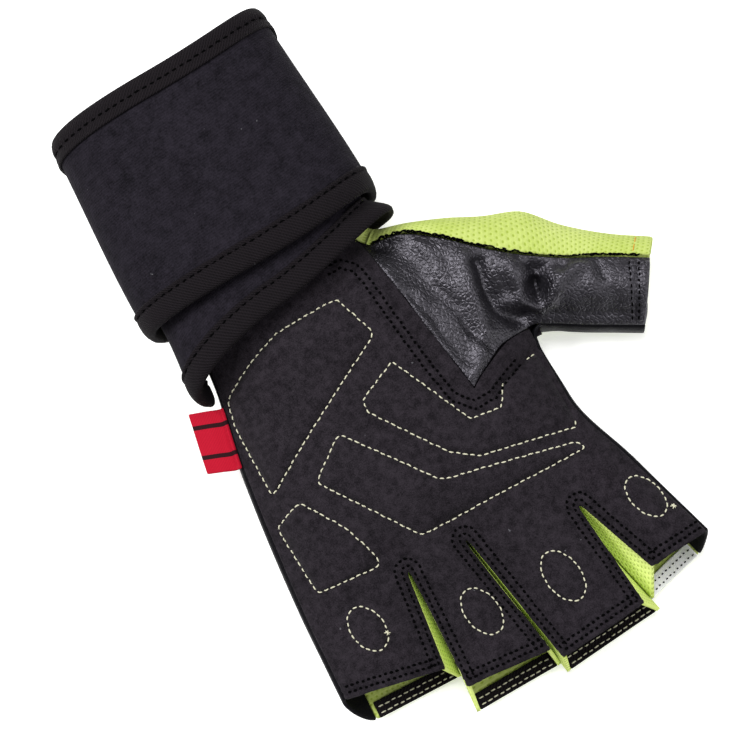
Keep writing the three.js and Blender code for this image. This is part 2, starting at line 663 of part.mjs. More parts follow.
const FIRST_TURN = WRAP[0].at;
const wrapTurns = steps(Math.round((TURNS - FIRST_TURN) * WRAP_SIDES), FIRST_TURN, TURNS);
const bindingMiddle = (bindingProud + BINDING_WIDTH) / 2;
const STRAP_COLUMNS = [
  bindingProud,
  bindingMiddle,
  BINDING_WIDTH,
  0.2 * WRAP_WIDTH,
  0.5 * WRAP_WIDTH,
  WRAP_WIDTH - BINDING_WIDTH,
  WRAP_WIDTH - bindingProud,
];
const strapRings = wrapTurns.map((turn) => {
  const level = (depth) => STRAP_COLUMNS.map((across) => wrapPoint(turn, lowEdge(turn) + across, depth));
  return [...level(0), ...level(WRAP_THICKNESS).reverse()];
});
const strapEnd = STRAP_COLUMNS.slice(1).flatMap((_, i) => {
  const top = 2 * STRAP_COLUMNS.length - 1;
  return [[i, i + 1, top - i - 1], [i, top - i - 1, top - i]];
});

// A tape folded round one edge of the strap, open towards the strap's middle, with its ends' triangles
function binding(edgeOf, inward, across) {
  const face = (depth) => across.map((a) => [a, depth]);
  const profile = [
    ...face(-bindingProud).reverse(),
    [0, -bindingProud * 0.3],
    [0, WRAP_THICKNESS + bindingProud * 0.3],
    ...face(WRAP_THICKNESS + bindingProud),
    ...face(WRAP_THICKNESS + SEAM_GAP).slice(1).reverse(),
    [TAPE_THICKNESS, WRAP_THICKNESS + SEAM_GAP],
    [TAPE_THICKNESS, -SEAM_GAP],
    ...face(-SEAM_GAP).slice(1),
  ];
  const rings = wrapTurns.map((turn) => {
    return profile.map(([a, depth]) => wrapPoint(turn, edgeOf(turn) + inward * a, depth));
  });
  const outline = profile.map(([a, depth]) => new THREE.Vector2(a, depth));
  const { triangulateShape, area } = THREE.ShapeUtils;
  const endFaces = triangulateShape(outline, []);
  const sameWay = area(outline) * area(endFaces[0].map((i) => outline[i])) > 0;
  return loft(rings, sameWay ? endFaces : endFaces.map((face) => face.slice().reverse()));
}

// The hook patch on the strap's end, against the turn beneath it
const closureTurns = steps(6, 1.6, TURNS);
const closureRings = closureTurns.map((turn) => {
  const middle = (lowEdge(turn) + lowEdge(turn - 1) + WRAP_WIDTH) / 2;
  const level = (depth) => [-0.5, 0.5].map((t) => wrapPoint(turn, middle + t * CLOSURE_WIDTH, depth));
  const under = WRAP_THICKNESS - pitch + CLOSURE_CLEARANCE;
  return [...level(under), ...level(-CLOSURE_CLEARANCE).reverse()];
});

// The woven tag, folded double and sewn into the seam on the little finger's side
const TAG_SHARE = 0.225; // of the palm's length below the wrist crease, at its middle
const tagRings = steps(4).map((t) => {
  const y = -TAG_SHARE * PALM_LENGTH - (t - 0.5) * TAG_LENGTH;
  const row = (PALM_ROWS * (WRIST_TUCK - y)) / (WRIST_TUCK - crotchY(0));
  const wall = sideRing(0, 0, row, ulnarBulge(row));
  const lift = palmEdge(0, 0, row).normal.multiplyScalar(1.85 * SEAM_GAP);
  const start = wall[0].clone().add(lift);
  const shoulder = wall[1].clone().add(lift).add(vec(-0.27, 0, 0.18).multiplyScalar(TAG_THICKNESS));
  const tip = start.clone().add(vec(-TAG_REACH, 0.4 * TAG_REACH, -0.35 * TAG_REACH));
  const bend = mix(shoulder, tip, 0.4).add(vec(0, 0, 0.05 * TAG_REACH));
  const lower = [start, shoulder, bend, tip];
  const upper = lower.map((p) => p.clone().add(vec(-0.25 * TAG_THICKNESS, 0, TAG_THICKNESS)));
  return [...lower, ...upper.reverse()];
});
const tagEnd = [0, 1, 2].flatMap((i) => [[i, i + 1, 6 - i], [i, 6 - i, 7 - i]]);

// The palm is cut away where the thumb leather lies
const NOTCH_ROWS = steps(6, 0, CROTCH.at);
const far = 3 * PALM_WIDTH;
const seamMargin = BLIND_SEAM_GAP;
const notch = cutter([
  [thumb('seamX', 0) - seamMargin, WRIST_TUCK + PALM_LENGTH],
  [thumb('seamX', 0) - seamMargin, thumb('seamY', 0)],
  [thumb('inX', 0) - seamMargin, thumb('inY', 0) - seamMargin],
  ...NOTCH_ROWS.slice(1).map((at) => [thumb('inX', at), thumb('inY', at) - seamMargin]),
  [far, thumb('inY', CROTCH.at) - seamMargin],
  [far, WRIST_TUCK + PALM_LENGTH],
]);

// Materials
const matte = (color, roughness) => new THREE.MeshStandardMaterial({ color, roughness, metalness: 0 });
const SUEDE = () => matte(0x262325, 0.95);
const PAD = () => matte(0x2a272a, 0.95);
const LIME = () => matte(0xc3e04e, 0.85);
const LEATHER = () => matte(0x151418, 0.32);
const NEOPRENE = () => matte(0x19191d, 0.8);
const TAPE = () => matte(0x1e1a1b, 0.7);
const WHITE_BAND = () => matte(0xdfe2dc, 0.8);
const RED = () => matte(0xd7142f, 0.7);

const glove = new THREE.Group();
function add(name, geometry, material) {
  const mesh = new THREE.Mesh(geometry, material);
  mesh.name = name;
  glove.add(mesh);
}

add('palm_panel', shapeOf(solidOf(palmSkin.body(-PALM_WALL, 0)).subtract(notch)), SUEDE());
add('back_panel', backSkin.body(-MESH_WALL, 0), LIME());
add('side_ulnar', loft(ulnarRings, wallEnd), LEATHER());
add('side_radial', loft(radialRings, wallEnd), LEATHER());
add('thumb_front', leatherSkin.body(-LEATHER_WALL, 0), LEATHER());
add('thumb_back', outerSkin.body(-MESH_WALL, 0), LIME());
['little_ring', 'ring_middle', 'middle_index'].forEach((name, i) => {
  add(`fourchette_${name}`, forkSkin(i + 1).body(-SIDE_WALL / 2, SIDE_WALL / 2), LIME());
});

// Pads: the layer just over the palm, trimmed to each outline
const padLayer = solidOf(palmSkin.body(SEAM_GAP, SEAM_GAP + PAD_THICKNESS));
for (const pad of PADS) {
  const outline = pad.outline.map(([x, y]) => [x * PALM_WIDTH, y * PALM_LENGTH]);
  add(pad.name, shapeOf(padLayer.intersect(cutter(outline))), PAD());
}
OVALS.forEach((oval, i) => {
  const [x, y] = stripPoint(i, oval.across, PALM_ROWS + oval.along * FINGER_ROWS, false);
  const turn = THREE.MathUtils.degToRad(oval.tilt);
  const outline = steps(OVAL_SIDES).slice(0, -1).map((t) => {
    const a = 2 * Math.PI * t;
    const u = Math.cos(a) * oval.halfWidth * FINGER_LENGTH;
    const v = Math.sin(a) * oval.halfLength * FINGER_LENGTH;
    return [x + u * Math.cos(turn) - v * Math.sin(turn), y + u * Math.sin(turn) + v * Math.cos(turn)];
  });
  add(`pad_${FINGERS[i].name}`, shapeOf(padLayer.intersect(cutter(outline))), PAD());
});

// Bands inside the open end of each finger's back
FINGERS.forEach((finger, i) => {
  const length = backPoint(i, 0.5, PALM_ROWS).distanceTo(backPoint(i, 0.5, ROWS));
  const from = ROWS - (FINGER_ROWS * BAND_WIDTH) / length;
  const skin = new Skin([gridOf(backPoint, i, [from, ROWS], BACK_COLUMNS.slice(1, -1))], DOWN);
  const low = -(MESH_WALL + SEAM_GAP);
  const finish = finger.name === 'index' ? WHITE_BAND() : TAPE();
  add(`band_${finger.name}`, skin.body(low - BAND_THICKNESS, low), finish);
});

add('wrap_strap', loft(strapRings, strapEnd), NEOPRENE());
const highEdge = (turn) => lowEdge(turn) + WRAP_WIDTH;
add('wrap_binding_low', binding(lowEdge, 1, [bindingProud, bindingMiddle, BINDING_WIDTH]), TAPE());
add('wrap_binding_high', binding(highEdge, -1, [bindingProud, BINDING_WIDTH]), TAPE());
add('closure_patch', loft(closureRings, [[0, 1, 2], [0, 2, 3]]), TAPE());
add('side_tag', loft(tagRings, tagEnd), RED());

// The glove stands over its own origin
const box = new THREE.Box3().setFromObject(glove);
const middle = box.getCenter(vec(0, 0, 0));
glove.position.set(-middle.x, -middle.y, -box.min.z);

export default glove;
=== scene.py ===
import math

import bpy
import numpy as np
from mathutils import Matrix, Vector, noise
from mathutils.bvhtree import BVHTree
from mathutils.geometry import delaunay_2d_cdt


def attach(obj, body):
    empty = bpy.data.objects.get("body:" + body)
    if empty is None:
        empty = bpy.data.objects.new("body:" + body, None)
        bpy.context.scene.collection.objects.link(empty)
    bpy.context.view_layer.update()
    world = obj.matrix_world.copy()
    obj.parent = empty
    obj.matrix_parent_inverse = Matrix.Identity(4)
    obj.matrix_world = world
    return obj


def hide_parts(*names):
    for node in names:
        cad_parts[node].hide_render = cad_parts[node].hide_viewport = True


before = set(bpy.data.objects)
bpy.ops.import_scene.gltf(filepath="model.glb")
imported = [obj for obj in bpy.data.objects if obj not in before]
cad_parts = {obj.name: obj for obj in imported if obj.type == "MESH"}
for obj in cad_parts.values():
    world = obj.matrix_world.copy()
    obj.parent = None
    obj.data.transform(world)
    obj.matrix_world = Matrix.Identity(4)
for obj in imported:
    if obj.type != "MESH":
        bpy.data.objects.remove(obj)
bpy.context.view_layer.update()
bpy.ops.object.select_all(action="DESELECT")

# ---- Studio ----
# A pale floor that glows a little, under three soft lights: one from the wrap's side, one from above and a weaker
# one from the fingers' side.
# The camera looks almost straight down, turned so that the wrap points to the upper left.
CAMERA_TILT, CAMERA_TURN, CAMERA_FAR = 82, 30, 0.64756
CAMERA_AIM = (13.3, -24.1, 15)
ORIGIN = np.array((-30.87, 19.85, 0.01))


def metres(points):
    return (np.asarray(points, float) + ORIGIN) / 1000


bpy.ops.mesh.primitive_plane_add(size=4, location=(0, 0, -0.0002))
floor = bpy.context.object
floor.name = "floor"
floor_paint = bpy.data.materials.new("pale_floor")
floor_paint.use_nodes = True
floor_shader = floor_paint.node_tree.nodes["Principled BSDF"]
floor_shader.inputs["Base Color"].default_value = (0.93, 0.93, 0.93, 1)
floor_shader.inputs["Roughness"].default_value = 0.9
floor_shader.inputs["Emission Color"].default_value = (1, 1, 1, 1)
floor_shader.inputs["Emission Strength"].default_value = 0.4
floor.data.materials.append(floor_paint)

world = bpy.data.worlds.new("studio")
bpy.context.scene.world = world
world.use_nodes = True
world.node_tree.nodes["Background"].inputs["Color"].default_value = (1, 1, 1, 1)
world.node_tree.nodes["Background"].inputs["Strength"].default_value = 0.3
for name, place, size, power in (
    ("key", (-0.55, 0.5, 0.85), 0.4, 10),
    ("top", (0.1, 0.3, 1.2), 0.45, 8),
    ("fill", (0.6, -0.6, 0.8), 0.9, 5),
):
    lamp = bpy.data.lights.new(name, "AREA")
    lamp.size = size
    lamp.energy = power
    light = bpy.data.objects.new(name, lamp)
    bpy.context.scene.collection.objects.link(light)
    light.location = place
    light.rotation_euler = (-Vector(place)).to_track_quat("-Z", "Y").to_euler()

tilt, turn = math.radians(CAMERA_TILT), math.radians(CAMERA_TURN)
back = Vector((0, -math.cos(tilt), math.sin(tilt)))
flat, steep = Vector((1, 0, 0)), Vector((0, math.sin(tilt), math.cos(tilt)))
right = flat * math.cos(turn) - steep * math.sin(turn)
up = flat * math.sin(turn) + steep * math.cos(turn)
camera = bpy.data.objects.new("camera", bpy.data.cameras.new("camera"))
bpy.context.scene.collection.objects.link(camera)
camera.data.lens = 100
camera.data.sensor_width = 36
camera.data.clip_start = 0.05
place = Vector(metres(CAMERA_AIM)) + back * CAMERA_FAR
camera.matrix_world = Matrix.Translation(place) @ Matrix((right, up, back)).transposed().to_4x4()
bpy.context.scene.camera = camera
bpy.context.scene.view_settings.view_transform = "Standard"

# ---- Palm panel ----
# One sheet of black synthetic suede with the four finger fronts, cut on a table of widths and heights.
# Its slits and hems are turned under and sewn twice, and a V is cut out where the thumb is set in. The suede that is
# turned under along the V shows as a narrow strip beneath it.
PALM_WALL, BACK_WALL, SIDE_WALL, LEATHER_WALL = 1.5, 1.4, 1.2, 1.3
SLIT_ROWS, HEM_ROWS, V_ROWS = (1.9, 4.0), (1.9, 3.9), (2.8, 5)
HAND_AT = (0, 0.08, 0.25, 0.51, 0.77, 1)
HAND = {
    "left": (-28.28, -28.98, -31.71, -37.38, -40.95, -43.05),
    "right": (26.28, 28.46, 55.65, 61.95, 61.64, 68.25),
    "back_left": (-25.8, -26.46, -28.35, -33.08, -36.54, -38.85),
    "back_right": (23.8, 27.51, 38.85, 52.5, 57.23, 64.05),
    "crown": (37.445, 36.16, 34.56, 32, 28.8, 24.96),
    "edge": (30.725, 27.52, 19.84, 16, 14.4, 13.76),
    "floor": (13.925, 10.24, 4.16, 0, 0, 0),
}
ACROSS = (0, 0.315, 0.496, 0.81, 1)
CROTCH_Y = (-78.12, -81.65, -81.82, -90.22, -83.16)
FINGERS = (
    {"name": "little", "left": (-44.31, 27.51, 10.08), "right": (-12.39, 31.08, 4.2)},
    {"name": "ring", "left": (-10.29, 38.89, 8.4), "right": (18.38, 41.58, 5.46)},
    {"name": "middle", "left": (19.32, 45.7, 4.62), "right": (49.98, 34.99, 4.2)},
    {"name": "index", "left": (56.39, 26.8, 8.82), "right": (77.18, 32.76, 5.04)},
)
ROWS = 15.0


def follow(places, values, at):
    """A smooth curve through a table's values that never overshoots them."""
    places, values = np.array(places, float), np.array(values, float)
    at = np.asarray(at, float)
    span = np.diff(places)
    secant = np.diff(values) / span
    slope = np.empty(len(values))
    slope[0], slope[-1] = secant[0], secant[-1]
    pair, total = secant[:-1] * secant[1:], secant[:-1] + secant[1:]
    slope[1:-1] = np.where(pair > 0, 2 * pair / np.where(total == 0, 1, total), 0)
    i = np.clip(np.searchsorted(places, at, side="left") - 1, 0, len(span) - 1)
    t = np.clip((at - places[i]) / span[i], 0, 1)
    return (
        (2 * t**3 - 3 * t**2 + 1) * values[i]
        + (t**3 - 2 * t**2 + t) * span[i] * slope[i]
        + (3 * t**2 - 2 * t**3) * values[i + 1]
        + (t**3 - t**2) * span[i] * slope[i + 1]
    )


def ease(x):
    x = np.clip(x, 0, 1)
    return x * x * (3 - 2 * x)


def hand(name, y):
    return follow(HAND_AT, HAND[name], (22 - y) / 106)


def seam_line(line, v, dorsal):
    y = 22 + (CROTCH_Y[line] - 22) * v
    left, right = ("back_left", "back_right") if dorsal else ("left", "right")
    return hand(left, y) + (hand(right, y) - hand(left, y)) * ACROSS[line], y


def finger_edge(finger, side, w, dorsal):
    """Plan point on a finger's side, w from 0 at the crotch to 1 at the hem. Neighbouring backs overlap a little."""
    line = finger + side
    x, drop, over = FINGERS[finger]["right" if side else "left"]
    start = seam_line(line, 1, dorsal)
    lap = 0
    if dorsal and line in (0, 4):
        x = x + start[0] - seam_line(line, 1, False)[0]
    elif dorsal:
        pair = FINGERS[line - 1]["right"], FINGERS[line]["left"]
        share = (drop + over) / max(pair[0][1] + pair[0][2], pair[1][1] + pair[1][2])
        x = start[0] + ((pair[0][0] + pair[1][0]) / 2 - start[0]) * share
        lap = BACK_LAP * (side - 0.5) * ease(w / 0.05)
    end_y = CROTCH_Y[line] - drop - (over if dorsal else 0)
    return start[0] + (x - start[0]) * w + lap, start[1] + (end_y - start[1]) * w


# Neighbouring backs of fingers overlap by so much, and every other one lies so much higher, in millimetres
BACK_LAP, BACK_STEP = 1.1, 0.15


def strip(finger, s, row, dorsal):
    """Plan point across a finger's strip, rows 0 to 10 from the wrist to the crotch and 15 at the hem."""
    v, w = np.minimum(row / 10, 1), np.maximum(0, (row - 10) / 5)
    ends = []
    for side in (0, 1):
        on_palm = seam_line(finger + side, v, dorsal)
        on_finger = finger_edge(finger, side, w, dorsal)
        ends.append([np.where(w > 0, b, a) for a, b in zip(on_palm, on_finger)])
    return [a + (b - a) * s for a, b in zip(*ends)]


def parting(row):
    """How far the sheet has split into fingers at a row, from 0 to 1."""
    v, w = np.minimum(row / 10, 1), np.maximum(0, (row - 10) / 5)
    return 0.6 * ease((v - 0.78) / 0.22) + 0.4 * ease(w / 0.4)


def palm_height(x, y):
    u = np.clip((x - hand("left", y)) / (hand("right", y) - hand("left", y)), 0, 1)
    return hand("edge", y) + (hand("crown", y) - hand("edge", y)) * (1 - np.abs(2 * u - 1) ** 2.8)


def stack(x, y, z):
    return np.stack(np.broadcast_arrays(x, y, z), -1)


def palm_point(finger, s, row):
    x, y = strip(finger, s, row, False)
    arch = 15.54 + 5.46 * (1 - (2 * s - 1) ** 2)
    share = parting(row)
    return stack(x, y, palm_height(x, y) * (1 - share) + arch * share)


def turn_up(q):
    return 3.5 * np.maximum(0, (np.abs(q) - 0.5) / 0.5) ** 2


def back_point(finger, s, row):
    x, y = strip(finger, s, row, True)
    w = np.maximum(0, (row - 10) / 5)
    u = np.clip((x - hand("back_left", y)) / (hand("back_right", y) - hand("back_left", y)), 0, 1)
    share = parting(row)
    rise = turn_up(2 * u - 1) * (1 - share) + turn_up(2 * s - 1) * share
    curl = 3.5 * np.maximum(0, w - 0.6) * np.abs(2 * s - 1)
    over = BACK_STEP * (finger % 2) * ease(w / 0.05)
    return stack(x, y, hand("floor", y) + rise + curl + over)


def place_piece(name, mesh):
    piece = bpy.data.objects.new(name, mesh)
    bpy.context.scene.collection.objects.link(piece)
    bpy.context.view_layer.objects.active = piece
    return piece


def cloth_piece(name, grids, facing, closed=False):
    """A mesh from grids of points, sewn where they meet, with the cloth's own lengths as its UV map."""
    points, faces, cloth = [], [], []
    base = 0
    for grid in grids:
        rows, columns = grid.shape[:2]
        along = np.cumsum(np.r_[0, np.linalg.norm(np.diff(grid[:, columns // 2], axis=0), axis=1)])
        across = np.cumsum(np.r_[0, np.linalg.norm(np.diff(grid[rows // 2], axis=0), axis=1)])
        cloth.append(np.stack(np.meshgrid(across, along), -1).reshape(-1, 2))
        points.append(grid.reshape(-1, 3))
        r, c = np.meshgrid(np.arange(rows - 1), np.arange(columns - 1), indexing="ij")
        a = (base + r * columns + c).reshape(-1)
        faces.append(np.stack([a, a + 1, a + columns + 1, a + columns], -1))
        base += rows * columns
    points, faces, cloth = np.vstack(points), np.vstack(faces), np.vstack(cloth) / 1000
    mesh = bpy.data.meshes.new(name)
    mesh.from_pydata(metres(points).tolist(), [], faces.tolist())
    layer = mesh.uv_layers.new(name="cloth")
    layer.data.foreach_set("uv", cloth[faces.reshape(-1)].astype(np.float32).reshape(-1))
    piece = place_piece(name, mesh)
    merge = piece.modifiers.new("sewn", "WELD")
    merge.merge_threshold = 0.00002
    bpy.ops.object.modifier_apply(modifier="sewn")
    total = np.zeros(3)
    for polygon in piece.data.polygons:
        total += np.array(polygon.normal) * polygon.area
    if not closed and total @ np.array(facing) < 0:
        piece.data.flip_normals()
    return piece


def apply_all(piece):
    bpy.context.view_layer.objects.active = piece
    for modifier in list(piece.modifiers):
        bpy.ops.object.modifier_apply(modifier=modifier.name)
    piece.data.shade_smooth()
    return piece


def give_wall(piece, wall, levels=1, offset=-1):
    """Thickens a sheet, inwards unless told otherwise, and rounds its cut edges."""
    solid = piece.modifiers.new("wall", "SOLIDIFY")
    solid.thickness = wall / 1000
    solid.offset = offset
    if levels:
        smooth = piece.modifiers.new("rounded", "SUBSURF")
        smooth.levels = smooth.render_levels = levels
    return apply_all(piece)


def corners(piece):
    places = np.empty(len(piece.data.vertices) * 3)
    piece.data.vertices.foreach_get("co", places)
    return places.reshape(-1, 3) * 1000 - ORIGIN


def move_surface(piece, lift):
    """Moves each point of a piece along its own normal by lift(points, normals), in millimetres."""
    points = corners(piece)
    normals = np.empty(len(points) * 3)
    piece.data.vertex_normals.foreach_get("vector", normals)
    normals = normals.reshape(-1, 3)
    moved = metres(points + normals * lift(points, normals)[:, None])
    piece.data.vertices.foreach_set("co", moved.reshape(-1))
    piece.data.update()


def ripple(points, size, seed):
    """Smooth random waves between about -1 and 1, as wide as size."""
    offset = Vector((seed * 17.3, seed * 5.1, seed * 9.7))
    return np.array([noise.noise(Vector(p) / size + offset) for p in points])


def from_line(points, line):
    """Distance in plan from each point to a line through the given corners."""
    line = np.array(line, float)
    nearest = np.full(len(points), 1e9)
    for a, b in zip(line[:-1], line[1:]):
        run = b - a
        t = np.clip(((points[:, :2] - a) @ run) / max(run @ run, 1e-9), 0, 1)
        nearest = np.minimum(nearest, np.linalg.norm(points[:, :2] - (a + t[:, None] * run), axis=1))
    return nearest


def hem_corner(finger, side):
    return [float(v) for v in finger_edge(finger, side, 1.0, False)]


def crotch_corner(line):
    return [float(v) for v in seam_line(line, 1.0, False)]


SLITS = [[hem_corner(line - 1, 1), crotch_corner(line), hem_corner(line, 0)] for line in (1, 2, 3)]
HEMS = [[hem_corner(i, 0), hem_corner(i, 1)] for i in range(4)]
THUMB_V = [
    (29.7, 40), (29.7, 10.9), (37.2, -44.3), (41.0, -41.9), (45, -39.9),
    (49, -38), (53.2, -36.2), (57.6, -35.5), (61.9, -35.4),
]
PAD_OUTLINES = {
    "heel": [(-30.0, -8.4), (-18.9, -3.8), (-6.3, -0.2), (14.5, -0.3), (19.3, -15.1), (-32.6, -41.2), (-32.2, -16.8)],
    "upper": [
        (19.6, -25.1), (6.3, -30.8), (5.8, -34.8), (21, -57.1), (28.4, -62.7), (58.4, -68.9),
        (59.6, -66.4), (59.4, -42.8), (46.2, -46), (41.5, -53.1), (31.5, -51.7),
    ],
    "lower": [(-5.3, -35.9), (-18.4, -44.9), (1.3, -74.5), (57.5, -76), (56.5, -73.1), (14.7, -63.3)],
    "small": [(-26.3, -47.2), (-36.3, -50), (-35.2, -73.8), (-14.5, -76), (-14, -72.6), (-17.6, -61.2)],
}
THUMB_FOLD = [(44.5, -47), (50, -45.5), (55.5, -43.6), (62, -41.5)]

across_counts = (20, 12, 20, 12)
row_steps = np.r_[np.linspace(0, 10, 66), np.linspace(10, ROWS, 30)[1:]]
palm = cloth_piece(
    "palm_suede",
    [palm_point(i, np.linspace(0, 1, n + 1)[None, :], row_steps[:, None]) for i, n in enumerate(across_counts)],
    (0, 0, 1),
)
give_wall(palm, PALM_WALL)


def dent(d, at, width=0.6):
    """A soft groove at one distance from a line."""
    return np.exp(-(((d - at) / width) ** 2))


def palm_relief(points):
    lift = 0.55 * ripple(points, 23, 1) + 0.22 * ripple(points, 8, 2)
    for line in SLITS:
        d = from_line(points, line)
        lift += 0.5 * (ease(d / 1.2) - 1) + 0.35 * ease((5.6 - d) / 1.2) * ease(d / 1.4)
        lift -= 0.42 * dent(d, SLIT_ROWS[1]) + 0.4 * dent(d, SLIT_ROWS[0])
    for line in HEMS:
        d = from_line(points, line)
        lift += 0.3 * ease((5 - d) / 1.2) - 0.4 * dent(d, HEM_ROWS[1]) - 0.4 * dent(d, HEM_ROWS[0])
    d = from_line(points, THUMB_V)
    lift += 0.5 * (ease(d / 1.3) - 1) + 0.4 * ease((6 - d) / 1.2)
    lift -= 0.4 * dent(d, V_ROWS[1]) + 0.36 * dent(d, V_ROWS[0])
    lift -= 1.1 * dent(from_line(points, THUMB_FOLD), 0, 1.1)
    for outline in PAD_OUTLINES.values():
        lift -= 0.4 * dent(from_line(points, outline + outline[:1]), 0, 1.1)
    return lift


move_surface(palm, lambda points, normals: palm_relief(points) * ease((normals[:, 2] - 0.1) / 0.3))

bpy.ops.mesh.primitive_circle_add(vertices=len(THUMB_V) + 2, fill_type="NGON")
cutter = bpy.context.object
outline = THUMB_V + [(300, -35.4), (300, 40)]
for vertex, (x, y) in zip(cutter.data.vertices, outline):
    vertex.co = Vector(metres((x, y, -20)))
depth = cutter.modifiers.new("depth", "SOLIDIFY")
depth.thickness = 0.1
depth.offset = 1 if cutter.data.polygons[0].normal.z > 0 else -1
apply_all(cutter)
cut = palm.modifiers.new("thumb", "BOOLEAN")
cut.operation = "DIFFERENCE"
cut.object = cutter
apply_all(palm)
bpy.data.objects.remove(cutter)
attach(palm, "root")
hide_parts("palm_panel")

allowance_path = np.array(THUMB_V[1:] + [(64.5, -35.6)])
legs = []
for a, b in zip(allowance_path[:-1], allowance_path[1:]):
    side = np.array((-(b - a)[1], (b - a)[0])) / np.linalg.norm(b - a)
    grid = (a + (b - a) * np.linspace(-0.05, 1.05, 14)[:, None])[:, None] + side * np.linspace(-3, 3, 7)[:, None]
    legs.append(stack(grid[..., 0], grid[..., 1], palm_height(grid[..., 0], grid[..., 1]) - 1.85))
allowance = cloth_piece("seam_allowance", legs, (0, 0, 1))
give_wall(allowance, 0.4, 0)
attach(allowance, "root")


def put(tree, kind, sockets=(), **settings):
    """A shader node whose sockets take a value or another node's output."""
    node = tree.nodes.new("ShaderNode" + kind)
    for key, value in settings.items():
        setattr(node, key, value)
    for key, value in dict(sockets).items():
        if isinstance(value, bpy.types.NodeSocket):
            tree.links.new(value, node.inputs[key])
        else:
            node.inputs[key].default_value = value
    return node


def effect(name, numbers, outputs):
    """An empty shader node group: a vector and numbers in, plain values out."""
    tree = bpy.data.node_groups.new(name, "ShaderNodeTree")
    tree.interface.new_socket(name="Vector", in_out="INPUT", socket_type="NodeSocketVector")
    for socket, value in numbers.items():
        made = tree.interface.new_socket(name=socket, in_out="INPUT", socket_type="NodeSocketFloat")
        made.default_value = value
    for socket in outputs:
        tree.interface.new_socket(name=socket, in_out="OUTPUT", socket_type="NodeSocketFloat")
    return tree, tree.nodes.new("NodeGroupInput"), tree.nodes.new("NodeGroupOutput")


def use(tree, group, sockets):
    node = tree.nodes.new("ShaderNodeGroup")
    node.node_tree = group
    for key, value in sockets.items():
        if isinstance(value, bpy.types.NodeSocket):
            tree.links.new(value, node.inputs[key])
        else:
            node.inputs[key].default_value = value
    return node


def blend_colours(tree, factor, dark, light):
    return put(tree, "Mix", {0: factor, 6: dark, 7: light}, data_type="RGBA").outputs[2]


def sum_of(tree, first, second, operation="ADD"):
    return put(tree, "Math", {0: first, 1: second}, operation=operation).outputs[0]


def times(tree, first, second):
    return sum_of(tree, first, second, "MULTIPLY")


def single(tree, value, operation):
    return put(tree, "Math", {0: value}, operation=operation).outputs[0]


def spread(tree, value, low, high, first=0, last=1, **settings):
    """A value's range from low to high, spread over the range from first to last."""
    sockets = {"Value": value, "From Min": low, "From Max": high, "To Min": first, "To Max": last}
    return put(tree, "MapRange", sockets, **settings).outputs[0]


# Nap: short brushed fibres, with fine tone and height
nap, nap_in, nap_out = effect("nap", {"Scale": 2200.0}, ["Tone", "Height"])
place, scale = nap_in.outputs["Vector"], nap_in.outputs["Scale"]
fine = put(nap, "TexNoise", {"Vector": place, "Scale": scale, "Detail": 3, "Roughness": 0.7}).outputs[0]
wide = times(nap, scale, 0.17)
coarse = put(nap, "TexNoise", {"Vector": place, "Scale": wide, "Detail": 2, "Roughness": 0.6}).outputs[0]
nap.links.new(sum_of(nap, times(nap, fine, 0.6), times(nap, coarse, 0.4)), nap_out.inputs["Tone"])
nap.links.new(fine, nap_out.inputs["Height"])

# Lint: pale bits of dust and fibre, scattered far apart
lint, lint_in, lint_out = effect("lint", {"Scale": 150.0, "Share": 0.3}, ["Mask"])
place = lint_in.outputs["Vector"]
bent = put(lint, "TexNoise", {"Vector": place, "Scale": 900.0, "Detail": 1})
shifted = put(lint, "VectorMath", {0: bent.outputs[1], 1: (0.0015, 0.0015, 0.0015)}, operation="MULTIPLY")
moved = put(lint, "VectorMath", {0: place, 1: shifted.outputs[0]}, operation="ADD")
bits = put(lint, "TexVoronoi", {"Vector": moved.outputs[0], "Scale": lint_in.outputs["Scale"]})
near = spread(lint, bits.outputs["Distance"], 0.03, 0.075, 1, 0)
split = put(lint, "SeparateColor", {0: bits.outputs["Color"]})
chosen = sum_of(lint, split.outputs[0], lint_in.outputs["Share"], "LESS_THAN")
lint.links.new(times(lint, near, chosen), lint_out.inputs["Mask"])


def finish_of(name, colour, roughness, specular, sheen=0.0, sheen_roughness=0.5):
    """A material with its plain constants; its colour and relief are wired in by the piece's own section."""
    material = bpy.data.materials.new(name)
    material.use_nodes = True
    tree = material.node_tree
    shader = tree.nodes["Principled BSDF"]
    shader.inputs["Base Color"].default_value = (*colour, 1)
    shader.inputs["Roughness"].default_value = roughness
    shader.inputs["Specular IOR Level"].default_value = specular
    shader.inputs["Sheen Weight"].default_value = sheen
    shader.inputs["Sheen Roughness"].default_value = sheen_roughness
    return material, tree, shader


def relief(tree, shader, height, depth, strength, under=None):
    """Feeds a height in millimetres into a shader's normal."""
    bump = put(tree, "Bump", {"Height": height, "Distance": depth / 1000, "Strength": strength})
    if under is not None:
        tree.links.new(under, bump.inputs["Normal"])
    tree.links.new(bump.outputs[0], shader.inputs["Normal"])


def paint(tree, shader, factor, dark, light):
    tree.links.new(blend_colours(tree, factor, dark, light), shader.inputs["Base Color"])


def dust(tree, shader, place, cloth, scale, share, strength, colour):
    """Paints a cloth's colour with a faint scatter of lint over it."""
    bits = use(tree, lint, {"Vector": place, "Scale": scale, "Share": share})
    paint(tree, shader, times(tree, bits.outputs[0], strength), cloth, colour)


